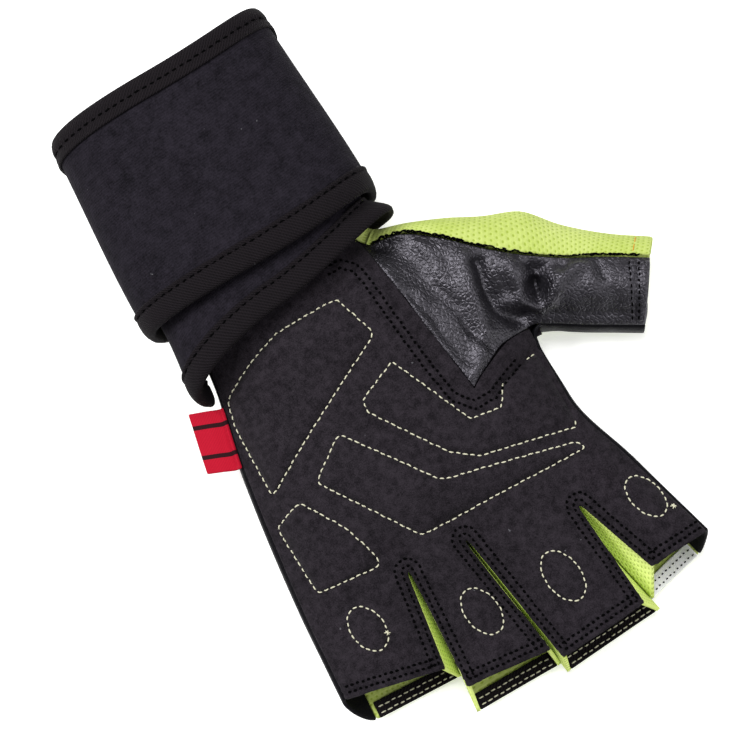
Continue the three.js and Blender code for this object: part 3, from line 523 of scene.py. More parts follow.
def suede_finish(name, dark, light):
    material, tree, shader = finish_of(name, dark, 0.95, 0.06, 0.03, 0.45)
    place = put(tree, "TexCoord").outputs["Object"]
    fibres = use(tree, nap, {"Vector": place, "Scale": 2400.0})
    patches = put(tree, "TexNoise", {"Vector": place, "Scale": 46.0, "Detail": 4, "Roughness": 0.62})
    mixed = sum_of(tree, times(tree, fibres.outputs["Tone"], 1.82), times(tree, patches.outputs[0], 0.18))
    cloth = blend_colours(tree, spread(tree, mixed, 0.8, 1.22), (*dark, 1), (*light, 1))
    dust(tree, shader, place, cloth, 170.0, 0.13, 0.4, (0.2, 0.2, 0.22, 1))
    relief(tree, shader, fibres.outputs["Height"], 0.16, 1.0)
    return material


SUEDE = suede_finish("suede", (0.0075, 0.0062, 0.008), (0.026, 0.0215, 0.027))
palm.data.materials.append(SUEDE)
allowance.data.materials.append(SUEDE)

# ---- Palm pads ----
# Four padded fields in the palm and an oval on each finger: the same suede over thin foam, held down by a line of
# stitches around each. A pad rises from its stitched edge to a soft flat top.
PAD_RISE, OVAL_RISE, PAD_GAP, PAD_SPACING = 1.25, 1.0, 0.04, 0.9
CORNER_CUT, ABOVE_ALL = 1.1, 60


def surface_of(*pieces):
    """What lies under a needle: the pieces' surfaces, seen from above."""
    trees = []
    for piece in pieces:
        mesh = piece.data
        trees.append(BVHTree.FromPolygons([v.co for v in mesh.vertices], [p.vertices for p in mesh.polygons]))
    return trees


def drop(trees, x, y):
    """Highest point and normal under a plan point, in millimetres, or None."""
    best = None
    start = Vector(metres((x, y, ABOVE_ALL)))
    for tree in trees:
        place, normal, _, _ = tree.ray_cast(start, Vector((0, 0, -1)))
        if place is not None and (best is None or place.z > best[0].z):
            best = (place, normal if normal.z > 0 else -normal)
    if best is None:
        return None
    return np.array(best[0]) * 1000 - ORIGIN, np.array(best[1])


def rounded(outline):
    """A closed outline with its corners cut round, about a millimetre from each."""
    points = [np.array(p, float) for p in outline]
    for _ in range(2):
        cut = []
        for a, b in zip(points, points[1:] + points[:1]):
            run = min(0.16, CORNER_CUT / max(np.linalg.norm(b - a), 1e-6))
            cut += [a + (b - a) * run, b - (b - a) * run]
        points = cut
    return points


def along_path(path, step, closed=False):
    """Points at even steps along a path, at least two."""
    points = [np.array(p, float) for p in path]
    if closed:
        points.append(points[0])
    lengths = np.cumsum([0] + [np.linalg.norm(b - a) for a, b in zip(points, points[1:])])
    count = max(2, int(round(lengths[-1] / step)))
    places = np.linspace(0, lengths[-1], count + 1)
    columns = [np.interp(places, lengths, [p[i] for p in points]) for i in range(len(points[0]))]
    result = np.stack(columns, 1)
    return result[:-1] if closed else result


def plan_mesh(outline, spacing):
    """Points and triangles that fill a closed plan outline, with rows of points near its edge."""
    edge = along_path(outline, spacing, closed=True)
    lo, hi = edge.min(0), edge.max(0)
    ring = np.vstack([edge, edge[:1]])
    inner = []
    for j, y in enumerate(np.arange(lo[1], hi[1], spacing * 0.87)):
        for x in np.arange(lo[0] + (j % 2) * spacing / 2, hi[0], spacing):
            inner.append((x, y))
    inner = np.array(inner)
    inner = inner[from_line(inner, ring) > spacing * 0.6]
    points = [Vector(p) for p in np.vstack([edge, inner])]
    border = [(i, (i + 1) % len(edge)) for i in range(len(edge))]
    made = delaunay_2d_cdt(points, border, [list(range(len(edge)))], 1, 1e-5)
    faces = [list(f) for f in made[2]]
    kept = sorted({i for face in faces for i in face})
    order = {old: new for new, old in enumerate(kept)}
    places = np.array([tuple(made[0][i]) for i in kept])
    return places, [[order[i] for i in face] for face in faces], ring


def pad_piece(name, outline, under, rise):
    """A thin foam pad over the sheet beneath it."""
    places, faces, ring = plan_mesh(outline, PAD_SPACING)
    ground = np.array([drop(under, x, y)[0][2] for x, y in places])
    edge = from_line(places, ring)
    top = ground + 0.12 + rise * (1 - np.exp(-edge / 1.5))
    top += 0.12 * ripple(stack(*places.T, 0), 9, 4) * ease(edge / 4)
    low = stack(places[:, 0], places[:, 1], ground + PAD_GAP)
    high = stack(places[:, 0], places[:, 1], top)
    count = len(places)
    sides = {}
    for face in faces:
        for a, b in zip(face, face[1:] + face[:1]):
            sides[(a, b)] = True
    walls = [[b, a, a + count, b + count] for a, b in sides if (b, a) not in sides]
    mesh = bpy.data.meshes.new(name)
    upper = [[i + count for i in face] for face in faces]
    turned = [face[::-1] for face in faces + walls]
    mesh.from_pydata(metres(np.vstack([low, high])).tolist(), [], upper + turned)
    piece = place_piece(name, mesh)
    if sum(p.normal.z * p.area for p in list(mesh.polygons)[: len(upper)]) < 0:
        mesh.flip_normals()
    mesh.shade_smooth()
    return piece


OVALS = (
    {"name": "little", "across": 0.48, "along": 0.37, "width": 5.04, "length": 7.56, "tilt": 10},
    {"name": "ring", "across": 0.6, "along": 0.53, "width": 5.04, "length": 7.98, "tilt": 10},
    {"name": "middle", "across": 0.5, "along": 0.5, "width": 5.25, "length": 8.61, "tilt": 8},
    {"name": "index", "across": 0.72, "along": 0.41, "width": 4.62, "length": 7.56, "tilt": 16},
)
outlines = {name: rounded(points) for name, points in PAD_OUTLINES.items()}
for i, oval in enumerate(OVALS):
    x, y = strip(i, oval["across"], 10 + oval["along"] * 5, False)
    swing = math.radians(oval["tilt"])
    outline = []
    for step in range(40):
        angle = 2 * math.pi * step / 40
        u, v = math.cos(angle) * oval["width"], math.sin(angle) * oval["length"]
        turned = (u * math.cos(swing) - v * math.sin(swing), u * math.sin(swing) + v * math.cos(swing))
        outline.append(np.array((x + turned[0], y + turned[1])))
    outlines[oval["name"]] = outline

under_palm = surface_of(palm)
pads = []
for name, outline in outlines.items():
    rise = PAD_RISE if name in PAD_OUTLINES else OVAL_RISE
    pad = pad_piece("pad_foam_" + name, outline, under_palm, rise)
    pad.data.materials.append(SUEDE)
    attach(pad, "root")
    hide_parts("pad_" + name)
    pads.append(pad)
on_palm = surface_of(palm, *pads)

# ---- Back panel ----
# Lime spacer mesh that lies on the ground, knitted with staggered rows of small holes. Its finger backs run a few
# millimetres past the hems of the palm side.
back_counts = (14, 9, 14, 9)
back_rows = np.r_[np.linspace(0, 10, 44), np.linspace(10, ROWS, 24)[1:]]
back_panel = cloth_piece(
    "back_mesh",
    [back_point(i, np.linspace(0, 1, n + 1)[None, :], back_rows[:, None]) for i, n in enumerate(back_counts)],
    (0, 0, -1),
)
give_wall(back_panel, BACK_WALL)
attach(back_panel, "root")
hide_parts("back_panel")

# Knitted holes in staggered rows, with the ribs between them standing up
KNIT_PITCH = 0.0019
holes, holes_in, holes_out = effect("knit_holes", {"Pitch": KNIT_PITCH}, ["Mask", "Height"])
apart = put(holes, "SeparateXYZ", {0: holes_in.outputs["Vector"]})
column = sum_of(holes, apart.outputs[0], holes_in.outputs["Pitch"], "DIVIDE")
row = times(holes, sum_of(holes, apart.outputs[1], holes_in.outputs["Pitch"], "DIVIDE"), 1.25)
odd = times(holes, sum_of(holes, single(holes, row, "FLOOR"), 2.0, "FLOORED_MODULO"), 0.5)
cell_x = sum_of(holes, single(holes, sum_of(holes, column, odd), "FRACT"), 0.5, "SUBTRACT")
cell_y = sum_of(holes, single(holes, row, "FRACT"), 0.5, "SUBTRACT")
squares = sum_of(holes, sum_of(holes, cell_x, 2.0, "POWER"), sum_of(holes, cell_y, 2.0, "POWER"))
reach = single(holes, squares, "SQRT")
hole = spread(holes, reach, 0.14, 0.27, 1, 0, interpolation_type="SMOOTHSTEP")
holes.links.new(hole, holes_out.inputs["Mask"])
holes.links.new(spread(holes, reach, 0.1, 0.5), holes_out.inputs["Height"])


def lime_finish(name, hole_share, painted_light_gain=1.0):
    material, tree, shader = finish_of(name, (0.5, 0.61, 0.15), 0.9, 0.08, 0.02, 0.5)
    place = put(tree, "TexCoord")
    knit = use(tree, holes, {"Vector": place.outputs["UV"], "Pitch": KNIT_PITCH})
    fibres = use(tree, nap, {"Vector": place.outputs["Object"], "Scale": 1500.0})
    patches = put(tree, "TexNoise", {"Vector": place.outputs["Object"], "Scale": 60.0, "Detail": 3})
    mixed = times(tree, sum_of(tree, fibres.outputs["Tone"], patches.outputs[0]), 0.5)
    # A gain above 1 is painted light: it brightens the lime's colours to stand in for light that shade takes away.
    dark, light = ([part * painted_light_gain for part in colour] for colour in ((0.39, 0.485, 0.1), (0.52, 0.6, 0.2)))
    cloth = blend_colours(tree, spread(tree, mixed, 0.35, 0.65), (*dark, 1), (*light, 1))
    paint(tree, shader, times(tree, knit.outputs["Mask"], hole_share), cloth, (0.24, 0.32, 0.03, 1))
    ribs = times(tree, knit.outputs["Height"], 0.35 * hole_share + 0.05)
    relief(tree, shader, sum_of(tree, ribs, times(tree, fibres.outputs["Height"], 0.12)), 0.6, 0.8)
    return material


LIME = lime_finish("mesh_lime", 0.75)
back_panel.data.materials.append(LIME)

# ---- Walls between the fingers ----
# Lime mesh strips folded round each crotch and sewn between the palm and the back. Their lime is a lighter copy of
# the back's: painted light that stands in for the light that the shaded slits lack.
FORK_INSET = 1.1


def unit(vectors):
    return vectors / np.linalg.norm(vectors, axis=-1, keepdims=True)


def edge_frame(at, s, row, facing, last):
    """Points of a sheet with their normals and the directions that run off its side edge."""
    row = np.asarray(row, float)
    s = np.broadcast_to(np.asarray(s, float), row.shape)
    h = last / 800
    point = at(s, row)
    along = at(s, np.minimum(row + h, last)) - at(s, np.maximum(row - h, 0))
    across = at(s + np.where(s < 0.5, 0.02, -0.02), row) - point
    normal = unit(np.cross(across, along))
    normal = normal * np.sign(normal[..., 2:] * facing)
    off = unit(np.cross(normal, along))
    off = off * -np.sign((off * across).sum(-1, keepdims=True))
    return point, normal, off


def palm_edge(finger, s, row):
    return edge_frame(lambda a, r: palm_point(finger, a, r), s, row, 1, ROWS)


def back_edge(finger, s, row):
    return edge_frame(lambda a, r: back_point(finger, a, r), s, row, -1, ROWS)


def fork_column(line, side, row, angle):
    finger = line - 1 if side < 0 else line
    ends = []
    for at, facing, wall in ((palm_point, 1, PALM_WALL), (back_point, -1, BACK_WALL)):
        inset = FORK_INSET / np.linalg.norm(at(finger, 0.0, row) - at(finger, 1.0, row))
        share = inset * math.cos(angle)
        s = 1 - share if side < 0 else share
        reach = at(line, 0.0, 9.0)[1] - at(line, 0.0, 10.0)[1]
        setback = FORK_INSET * math.sin(angle) / reach
        s = np.clip(s, 0.001, 0.999)
        point, normal, _ = edge_frame(lambda a, r: at(finger, a, r), s, row - setback, facing, ROWS)
        ends.append(point - np.array((0, 0, facing * (wall + 0.3) / abs(normal[2]))))
    return ends[0] + (ends[1] - ends[0]) * np.linspace(0, 1, 9)[:, None]


# Painted light: the same lime with its colours brightened 1.45 times against the shade in the slits.
FORK_LIME_PAINTED_LIGHT = lime_finish("mesh_lime_painted_light", 0.6, painted_light_gain=1.45)
for line, name in ((1, "little_ring"), (2, "ring_middle"), (3, "middle_index")):
    down = np.linspace(ROWS, 10.2, 30)
    bend = [i * math.pi / 12 for i in range(7)]
    columns = [fork_column(line, -1, row, 0) for row in down]
    columns += [fork_column(line, -1, 10.0, a) for a in bend]
    columns += [fork_column(line, 1, 10.0, a) for a in bend[-2::-1]]
    columns += [fork_column(line, 1, row, 0) for row in down[::-1]]
    wall = cloth_piece("fork_mesh_" + name, [np.array(columns)], (0, 0, -1))
    give_wall(wall, SIDE_WALL, 0, 0)
    wall.data.materials.append(FORK_LIME_PAINTED_LIGHT)
    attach(wall, "root")
    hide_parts("fourchette_" + name)

# ---- Side strips ----
# Glossy black coated strips along the little finger's side, and along the index finger, round the thumb's crotch
# and up the thumb. They are sewn between the palm and the back and bulge out a little.


def wall_curve(top, bottom, gap, bulge, steps=12):
    """Rows of points from a top seam to a bottom seam, bulging out between them."""
    bulge = np.broadcast_to(np.asarray(bulge, float), top[0].shape[:1])[:, None]
    start, end = top[0] + top[2] * gap, bottom[0] + bottom[2] * gap
    first, second = start + top[2] * bulge * 4 / 3, end + bottom[2] * bulge * 4 / 3
    t = np.linspace(0, 1, steps + 1)[None, :, None]
    start, end, first, second = (p[:, None, :] for p in (start, end, first, second))
    return (1 - t) ** 3 * start + 3 * (1 - t) ** 2 * t * first + 3 * (1 - t) * t**2 * second + t**3 * end


def ulnar_bulge(rows):
    return 3.4 * (0.55 + 0.45 * ease((rows - 2.6) / 1.6))


def side_wall(finger, side, rows, gap, bulge, steps=12):
    return wall_curve(palm_edge(finger, side, rows), back_edge(finger, side, rows), gap, bulge, steps)


ulnar_rows = np.linspace(0, ROWS, 96)
ulnar_grid = side_wall(0, 0.0, ulnar_rows, -0.1, ulnar_bulge(ulnar_rows))
ulnar = cloth_piece("little_side_strip", [ulnar_grid], (-1, 0, 0))
give_wall(ulnar, SIDE_WALL)
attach(ulnar, "root")
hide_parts("side_ulnar")

THUMB_AT = (0, 0.15, 0.3, 0.43, 0.57, 0.72, 0.86, 1)
THUMB = {
    "seam_x": (29.82, 40.95, 51.03, 60.9, 71.45, 81.45, 91.95, 104.2),
    "seam_y": (10.92, 8.32, 1.26, -7.98, -16.38, -22.88, -28.38, -35.68),
    "in_x": (37.28, 44.94, 53.03, 61.95, 68.45, 76.95, 85.45, 92.95),
    "in_y": (-44.1, -39.82, -36.12, -35.28, -37.98, -43.18, -48.18, -52.58),
    "seam_z": (28.8, 29.52, 29.28, 28.08, 26.4, 24.72, 23.52, 22.56),
    "in_z": (28.8, 26.4, 22.8, 18.72, 17.52, 16.8, 16.56, 16.08),
    "arch": (1.44, 1.68, 2.4, 3.36, 4.08, 4.56, 4.56, 4.08),
}
WALL_AT = (-0.3, -0.14) + THUMB_AT
WALL = {
    "out_x": (30.03, 32.97, 35.18, 45.15, 56.7, 66.99, 77.45, 86.95, 97.95, 109.45),
    "out_y": (22.01, 17.22, 15.12, 11.76, 7.56, 2.77, -1.28, -11.98, -21.58, -29.38),
    "out_z": (24.48, 23.52, 21.6, 18.24, 15.12, 13.44, 12.72, 12.48, 12.24, 12),
    "floor": (14.4, 12, 9.6, 6, 3.12, 1.68, 1.2, 1.2, 1.2, 1.2),
}
CROTCH_AT = 0.43


def thumb(name, at):
    if name in THUMB:
        return follow(THUMB_AT, THUMB[name], at)
    return follow(WALL_AT, WALL[name], at)


def back_row(at):
    """The back's row that lies beside a place along the thumb, up to its crotch."""
    return follow((-0.3, -0.14, 0, 0.15, 0.3, CROTCH_AT), (0, 0.6, 1.4, 2.5, 3.9, 5.4), at)


def leather_point(at, s):
    """The leather before it is creased, from wrist to thumb end (at) and from seam to inner edge (s)."""
    x = thumb("seam_x", at) + (thumb("in_x", at) - thumb("seam_x", at)) * s
    y = thumb("seam_y", at) + (thumb("in_y", at) - thumb("seam_y", at)) * s
    inner = palm_height(thumb("in_x", at), thumb("in_y", at))
    inner = inner + (thumb("in_z", at) - inner) * ease((at - 0.36) / 0.14)
    z = thumb("seam_z", at) * (1 - s) + inner * s + 4 * s * (1 - s) * thumb("arch", at)
    near = ease(at / 0.15)
    return stack(x, y, palm_height(x, y) * (1 - near) + z * near)


def under_edge(at):
    """Lower edge of the wall round the thumb: along the back, then along the thumb's inner side."""
    at = np.asarray(at, float)
    last = back_edge(3, 1.0, back_row(np.minimum(at, CROTCH_AT)))
    on_back = last[0] + last[2] * 0.8
    inner = leather_point(np.maximum(at, 0.0), 1.0)
    towards = stack(thumb("out_x", at) - inner[..., 0], thumb("out_y", at) - inner[..., 1], 0)
    own = inner + unit(towards) * 2.2
    own[..., 2] = thumb("floor", at) + 3.36
    share = ease((at - CROTCH_AT) / 0.2)[..., None]
    return on_back * (1 - share) + own * share


def inner_curve(at):
    top = edge_frame(lambda s, a: leather_point(a, s), 1.0, at, 1, 1)
    off = unit(stack(top[0][:, 0] - thumb("seam_x", at), top[0][:, 1] - thumb("seam_y", at), 0))
    bottom = (under_edge(at), None, off)
    return wall_curve(top, bottom, 0.0, 3.06 * ease((at - 0.45) / 0.2))


crotch_row = 5.447
rows = np.r_[crotch_row + 0.25, np.linspace(crotch_row + 1, ROWS, 56)]
index_grid = side_wall(3, 1.0, rows, -0.1, 2.38 * ease((rows - crotch_row) / 2))
radial_grid = np.concatenate([inner_curve(np.linspace(1, 0.5, 36)), index_grid])
radial = cloth_piece("index_side_strip", [radial_grid], (1, -1, 0))
give_wall(radial, SIDE_WALL)
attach(radial, "root")
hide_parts("side_radial")

# Hide grain: rounded pebbles with fine creases between them
grain, grain_in, grain_out = effect("hide_grain", {"Scale": 900.0}, ["Tone", "Height"])
start = grain_in.outputs["Vector"]
warp = put(grain, "TexNoise", {"Vector": start, "Scale": 260.0, "Detail": 2})
pull = put(grain, "VectorMath", {0: warp.outputs[1], 1: (0.0012, 0.0012, 0.0012)}, operation="MULTIPLY")
place = put(grain, "VectorMath", {0: start, 1: pull.outputs[0]}, operation="ADD")
cells = {"Vector": place.outputs[0], "Scale": grain_in.outputs["Scale"]}
pebbles = put(grain, "TexVoronoi", cells, feature="DISTANCE_TO_EDGE")
crease = spread(grain, pebbles.outputs["Distance"], 0.0, 0.28, interpolation_type="SMOOTHSTEP")
fine = put(grain, "TexNoise", {"Vector": start, "Scale": 2600.0, "Detail": 3})
grain.links.new(crease, grain_out.inputs["Tone"])
grain.links.new(sum_of(grain, crease, times(grain, fine.outputs[0], 0.45)), grain_out.inputs["Height"])


def leather_finish(name, dark, light, rough, scale, depth, specular):
    material, tree, shader = finish_of(name, dark, rough, specular)
    shader.inputs["Specular Tint"].default_value = (0.92, 0.88, 1, 1)
    place = put(tree, "TexCoord").outputs["Object"]
    hide = use(tree, grain, {"Vector": place, "Scale": scale})
    slow = put(tree, "TexNoise", {"Vector": place, "Scale": 70.0, "Detail": 4, "Roughness": 0.6}).outputs[0]
    paint(tree, shader, times(tree, hide.outputs["Tone"], slow), (*dark, 1), (*light, 1))
    tree.links.new(spread(tree, slow, 0.3, 0.7, rough - 0.08, rough + 0.12), shader.inputs["Roughness"])
    wide = put(tree, "TexNoise", {"Vector": place, "Scale": 240.0, "Detail": 3, "Roughness": 0.55})
    first = put(tree, "Bump", {"Height": wide.outputs[0], "Distance": 0.0007, "Strength": 0.45})
    relief(tree, shader, hide.outputs["Height"], depth, 0.9, first.outputs[0])
    return material


COATED = (0.0025, 0.0025, 0.003), (0.006, 0.006, 0.0075)
GLOSSY = leather_finish("coated_black", *COATED, 0.45, 1500.0, 0.03, 0.06)
ulnar.data.materials.append(GLOSSY)
radial.data.materials.append(GLOSSY)

# ---- Thumb wall ----
# Lime mesh round the outside and the underside of the thumb, sewn to the leather along its upper seam.


def outer_wall(at):
    """Rings of the wall, from the leather's seam over its widest line to the edge of the back."""
    at = np.asarray(at, float)
    seam = leather_point(np.maximum(at, 0.0), 0.0)
    out = unit(stack(thumb("out_x", at) - seam[:, 0], thumb("out_y", at) - seam[:, 1], 0))
    seam = seam + out * 0.6
    wrist = palm_edge(3, 1.0, back_row(np.minimum(at, 0)) * 0.9)
    seam = np.where(at[:, None] < 0, wrist[0] + wrist[2] * 0.6, seam)
    widest = stack(thumb("out_x", at), thumb("out_y", at), thumb("out_z", at))
    end = under_edge(at)
    floor = widest + (end - widest) * 0.38
    floor[:, 2] = np.where(at < 0, (thumb("floor", at) + end[:, 2]) / 2, thumb("floor", at))
    columns = []
    for t in np.linspace(0, math.pi / 2, 15):
        ring = seam + (widest - seam) * math.sin(t)
        ring[:, 2] = widest[:, 2] + (seam[:, 2] - widest[:, 2]) * math.cos(t)
        columns.append(ring)
    for t in np.linspace(0, math.pi / 2, 12)[1:]:
        ring = floor + (widest - floor) * math.cos(t)
        ring[:, 2] = widest[:, 2] + (floor[:, 2] - widest[:, 2]) * math.sin(t)
        columns.append(ring)
    columns += [floor + (end - floor) * t for t in np.linspace(0, 1, 9)[1:]]
    return np.stack(columns, 1)


wall_places = np.r_[np.linspace(-0.3, 0, 12)[:-1], np.linspace(0, 1, 56)]
thumb_wall = cloth_piece("thumb_mesh", [outer_wall(wall_places)], (0.6, 0.8, 0))
give_wall(thumb_wall, BACK_WALL)
thumb_wall.data.materials.append(LIME)
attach(thumb_wall, "root")
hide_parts("thumb_back")

# ---- Thumb leather ----
# Soft black goat leather over the thumb and the ball of the thumb. It is gathered at the joint, so that deep folds run
# from its seam towards the crotch, and its open end is hemmed with two rows of stitches.
FOLDS = (
    {"line": [(73.2, -20.5), (69.8, -27)], "depth": 4.2, "width": 3.4},
    {"line": [(70.2, -25), (68.5, -30)], "depth": 2.2, "width": 1.8},
    {"line": [(56.6, -11.5), (55.2, -20.5), (56.4, -26), (59.5, -32.5)], "depth": 2.6, "width": 2.3},
    {"line": [(63.5, -31.5), (75, -38.5), (94, -49.5)], "depth": 1.2, "width": 3.4},
    {"line": [(41, 6), (42, -8), (44.5, -20)], "depth": 0.8, "width": 3},
    {"line": [(80.5, -20), (79.5, -25.5)], "depth": 1.0, "width": 1.6},
    {"line": [(90, -27), (89, -34)], "depth": 0.6, "width": 1.6},
    {"line": [(47.5, -36.5), (46, -31), (45.5, -24)], "depth": 1.0, "width": 1.8},
    {"line": [(34.5, -10), (38, -28), (40, -37)], "depth": 0.5, "width": 1.5},
)
RIDGES = (
    {"line": [(54.5, -8), (51, -21), (49.4, -30), (43.5, -37), (40, -41.5)], "height": 1.7, "width": 2.8},
    {
        "line": [(59.1, -26.5), (64, -27.5), (67, -32.5), (71.5, -32), (76.5, -28), (84, -27)],
        "height": 1.7,
        "width": 2.2,
    },
    {"line": [(66, -15), (65, -21), (65.5, -25)], "height": 0.8, "width": 2.6},
    {"line": [(45, 3), (46, -9), (49, -17)], "height": 0.9, "width": 3.2},
    {"line": [(86.5, -28.5), (84, -36)], "height": 0.8, "width": 2.4},
)
leather = cloth_piece(
    "thumb_leather",
    [leather_point(np.linspace(0, 1, 80)[:, None], np.linspace(0, 1, 44)[None, :])],
    (0, 0, 1),
)
give_wall(leather, LEATHER_WALL)
THUMB_END = [(104.2, -35.7), (92.95, -52.6)]


LEATHER_EDGES = [[tuple(p[:2]) for p in leather_point(np.linspace(0, 1, 40), side)] for side in (0.0, 1.0)]


def leather_relief(points):
    """The folds and ridges, flatter towards the hem and the side seams."""
    lift = 0.6 * ripple(points, 13, 7) + 0.3 * ripple(points, 5, 8)
    wander = points.copy()
    wander[:, 0] += 1.3 * ripple(points, 8, 9)
    for fold in FOLDS:
        lift -= fold["depth"] * dent(from_line(wander, fold["line"]), 0, fold["width"])
    for ridge in RIDGES:
        lift += ridge["height"] * dent(from_line(wander, ridge["line"]), 0, ridge["width"])
    end = from_line(points, THUMB_END)
    lift = lift * (0.25 + 0.75 * ease((end - 2) / 8))
    lift += 0.35 * dent(end, 1.5, 1.4) - 0.45 * dent(end, 3.6)
    edge = np.minimum(*(from_line(points, line) for line in LEATHER_EDGES))
    return lift * ease(edge / 3)


move_surface(leather, lambda points, normals: leather_relief(points) * np.where(normals[:, 2] < 0, -1, 1))
GOAT = (0.003, 0.0028, 0.0036), (0.011, 0.01, 0.0135)
leather.data.materials.append(leather_finish("goat_leather", *GOAT, 0.37, 760.0, 0.13, 0.7))
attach(leather, "root")
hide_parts("thumb_front")

# ---- Finger bands ----
# Black tapes with two rows of cream stitches inside the open finger backs, and a white one on the index finger.


# Weave: slanted ribs crossed by finer threads
weave, weave_in, weave_out = effect("weave", {"Pitch": 0.0009, "Slant": 1.0}, ["Tone", "Height"])
apart = put(weave, "SeparateXYZ", {0: weave_in.outputs["Vector"]})
slanted = sum_of(weave, apart.outputs[0], times(weave, apart.outputs[1], weave_in.outputs["Slant"]))
turns = sum_of(weave, times(weave, slanted, 6.2832), weave_in.outputs["Pitch"], "DIVIDE")
cross = sum_of(weave, times(weave, apart.outputs[1], 10.0), weave_in.outputs["Pitch"], "DIVIDE")
ribs, threads = single(weave, turns, "SINE"), single(weave, cross, "SINE")
height = sum_of(weave, sum_of(weave, times(weave, ribs, 0.35), times(weave, threads, 0.15)), 0.5)
weave.links.new(height, weave_out.inputs["Height"])
weave.links.new(height, weave_out.inputs["Tone"])


def tape_finish(name, dark, light, pitch, depth):
    material, tree, shader = finish_of(name, dark, 0.85, 0.08)
    place = put(tree, "TexCoord")
    cloth = use(tree, weave, {"Vector": place.outputs["UV"], "Pitch": pitch, "Slant": 1.0})
    fibres = use(tree, nap, {"Vector": place.outputs["Object"], "Scale": 2600.0})
    share = sum_of(tree, times(tree, cloth.outputs["Tone"], 0.55), times(tree, fibres.outputs["Tone"], 0.5))
    woven = blend_colours(tree, share, (*dark, 1), (*light, 1))
    dust(tree, shader, place.outputs["Object"], woven, 190.0, 0.06, 0.3, (0.12, 0.12, 0.13, 1))
    both = sum_of(tree, cloth.outputs["Height"], times(tree, fibres.outputs["Height"], 0.4))
    relief(tree, shader, both, depth, 0.8)
    return material


TAPE = tape_finish("tape_black", (0.001, 0.0009, 0.0011), (0.0135, 0.0105, 0.013), 0.0012, 0.3)
WHITE = tape_finish("tape_white", (0.8, 0.81, 0.8), (0.92, 0.93, 0.92), 0.0008, 0.06)
BAND_WIDTH, BAND_WALL, BAND_STITCHES = 5.2, 0.8, (1.3, 3.3)
bands, band_rows_at = [], []
for i, finger in enumerate(FINGERS):
    middle = back_point(i, 0.5, np.linspace(10, ROWS, 30))
    length = np.linalg.norm(np.diff(middle, axis=0), axis=1).sum()
    band_rows = np.linspace(ROWS - 5 * BAND_WIDTH / length, ROWS, 12)
    grid = back_point(i, np.linspace(0.05, 0.95, 26)[None, :], band_rows[:, None])
    grid[..., 2] += BACK_WALL + 0.2
    band = cloth_piece("hem_band_" + finger["name"], [grid], (0, 0, 1))
    give_wall(band, BAND_WALL, offset=1)
    band.data.materials.append(WHITE if finger["name"] == "index" else TAPE)
    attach(band, "root")
    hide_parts("band_" + finger["name"])
    bands.append(band)
    band_rows_at.append([ROWS - 5 * a / length for a in BAND_STITCHES])

# ---- Wrist wrap ----
# A strap of black neoprene, faced with fine knit on both sides and wound nearly twice round the wrist. Both long
# edges are bound with a folded black tape, and a hook patch lies between its two turns.
WRAP_WIDTH, WRAP_WALL, WRAP_START, WRAP_END = 68.5, 2.6, -0.06, 1.88
WRAP_AT = (WRAP_START, 0, 0.25, 0.5, 0.75, 1, 1.25, 1.5, WRAP_END)
WRAP_LOW = (-7.14, -5.88, 5.04, 15.96, 16.8, 18.48, 18.48, 23.94, 22.68)
WRAP_FLARE = (1.55, 1.86, 1.24, 6.82, 0, 0, 0, 0, 0)


def low_edge(turns):
    return follow(WRAP_AT, WRAP_LOW, turns)


def wrap_point(turns, y, depth):
    """A point of the strap, depth millimetres out from its inner face."""
    a = math.pi - turns * 2 * math.pi
    grown = 1.8 + np.maximum(turns, 0) * 4.9 + depth
    taper = 3 * ease((y - 27.4) / WRAP_WIDTH)
    low, following = low_edge(turns), low_edge(np.minimum(turns + 1, WRAP_END))
    flare = follow(WRAP_AT, WRAP_FLARE, turns) * ease((following - y) / np.maximum(following - low, 1))
    half_width, half_height = 31 + grown - taper + flare, 12 + grown + 0.3 * flare
    c, s = np.cos(a), np.sin(a)
    power = 2 / np.where(s > 0, 2.6, 3.4)
    x = -1 + half_width * np.sign(c) * np.abs(c) ** power
    z = 25.925 + half_height * np.sign(s) * np.abs(s) ** power
    return stack(x, y, z)


def wound(name, profile, edge_of, inward, turns, pucker=0.0):
    """A closed section of (distance from the edge, depth) carried along the turns. Pucker pinches every other row."""
    profile = np.array(profile)
    across, depth = profile[:, 0], profile[:, 1]
    t = turns[:, None]
    pinch = np.asarray(pucker) * (0.45 + 0.55 * (np.arange(len(turns)) % 2))[:, None]
    rings = wrap_point(t, edge_of(t) + inward * across[None, :], depth[None, :] + pinch)
    rings = np.concatenate([rings, rings[:, :1]], 1)
    piece = cloth_piece(name, [rings], (0, 0, 1), closed=True)
    mesh = piece.data
    open_edges = {}
    for polygon in mesh.polygons:
        for key in polygon.edge_keys:
            open_edges[key] = open_edges.get(key, 0) + 1
    bpy.context.view_layer.objects.active = piece
    bpy.ops.object.mode_set(mode="EDIT")
    bpy.ops.mesh.select_mode(type="EDGE")
    bpy.ops.mesh.select_all(action="DESELECT")
    bpy.ops.object.mode_set(mode="OBJECT")
    for edge in mesh.edges:
        edge.select = open_edges.get(tuple(sorted(edge.vertices)), 0) == 1
    bpy.ops.object.mode_set(mode="EDIT")
    bpy.ops.mesh.edge_face_add()
    bpy.ops.mesh.select_all(action="SELECT")
    bpy.ops.mesh.normals_make_consistent(inside=False)
    bpy.ops.mesh.select_all(action="DESELECT")
    bpy.ops.object.mode_set(mode="OBJECT")
    mesh.shade_smooth()
    return piece


wrap_turns = np.linspace(WRAP_START, WRAP_END, 330)
strap_edge = [(0.95, 1.3), (1.1, 0.85), (1.6, 0.5), (2.2, 0.2), (3.0, 0)]
inner_face = strap_edge + [(a, 0) for a in np.linspace(4, WRAP_WIDTH - 4, 30)]
inner_face += [(WRAP_WIDTH - a, d) for a, d in strap_edge[::-1]]
strap_profile = inner_face + [(a, WRAP_WALL - d) for a, d in inner_face[-2:0:-1]]
strap = wound("wrap_neoprene", strap_profile, low_edge, 1, wrap_turns)
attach(strap, "root")
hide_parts("wrap_strap")


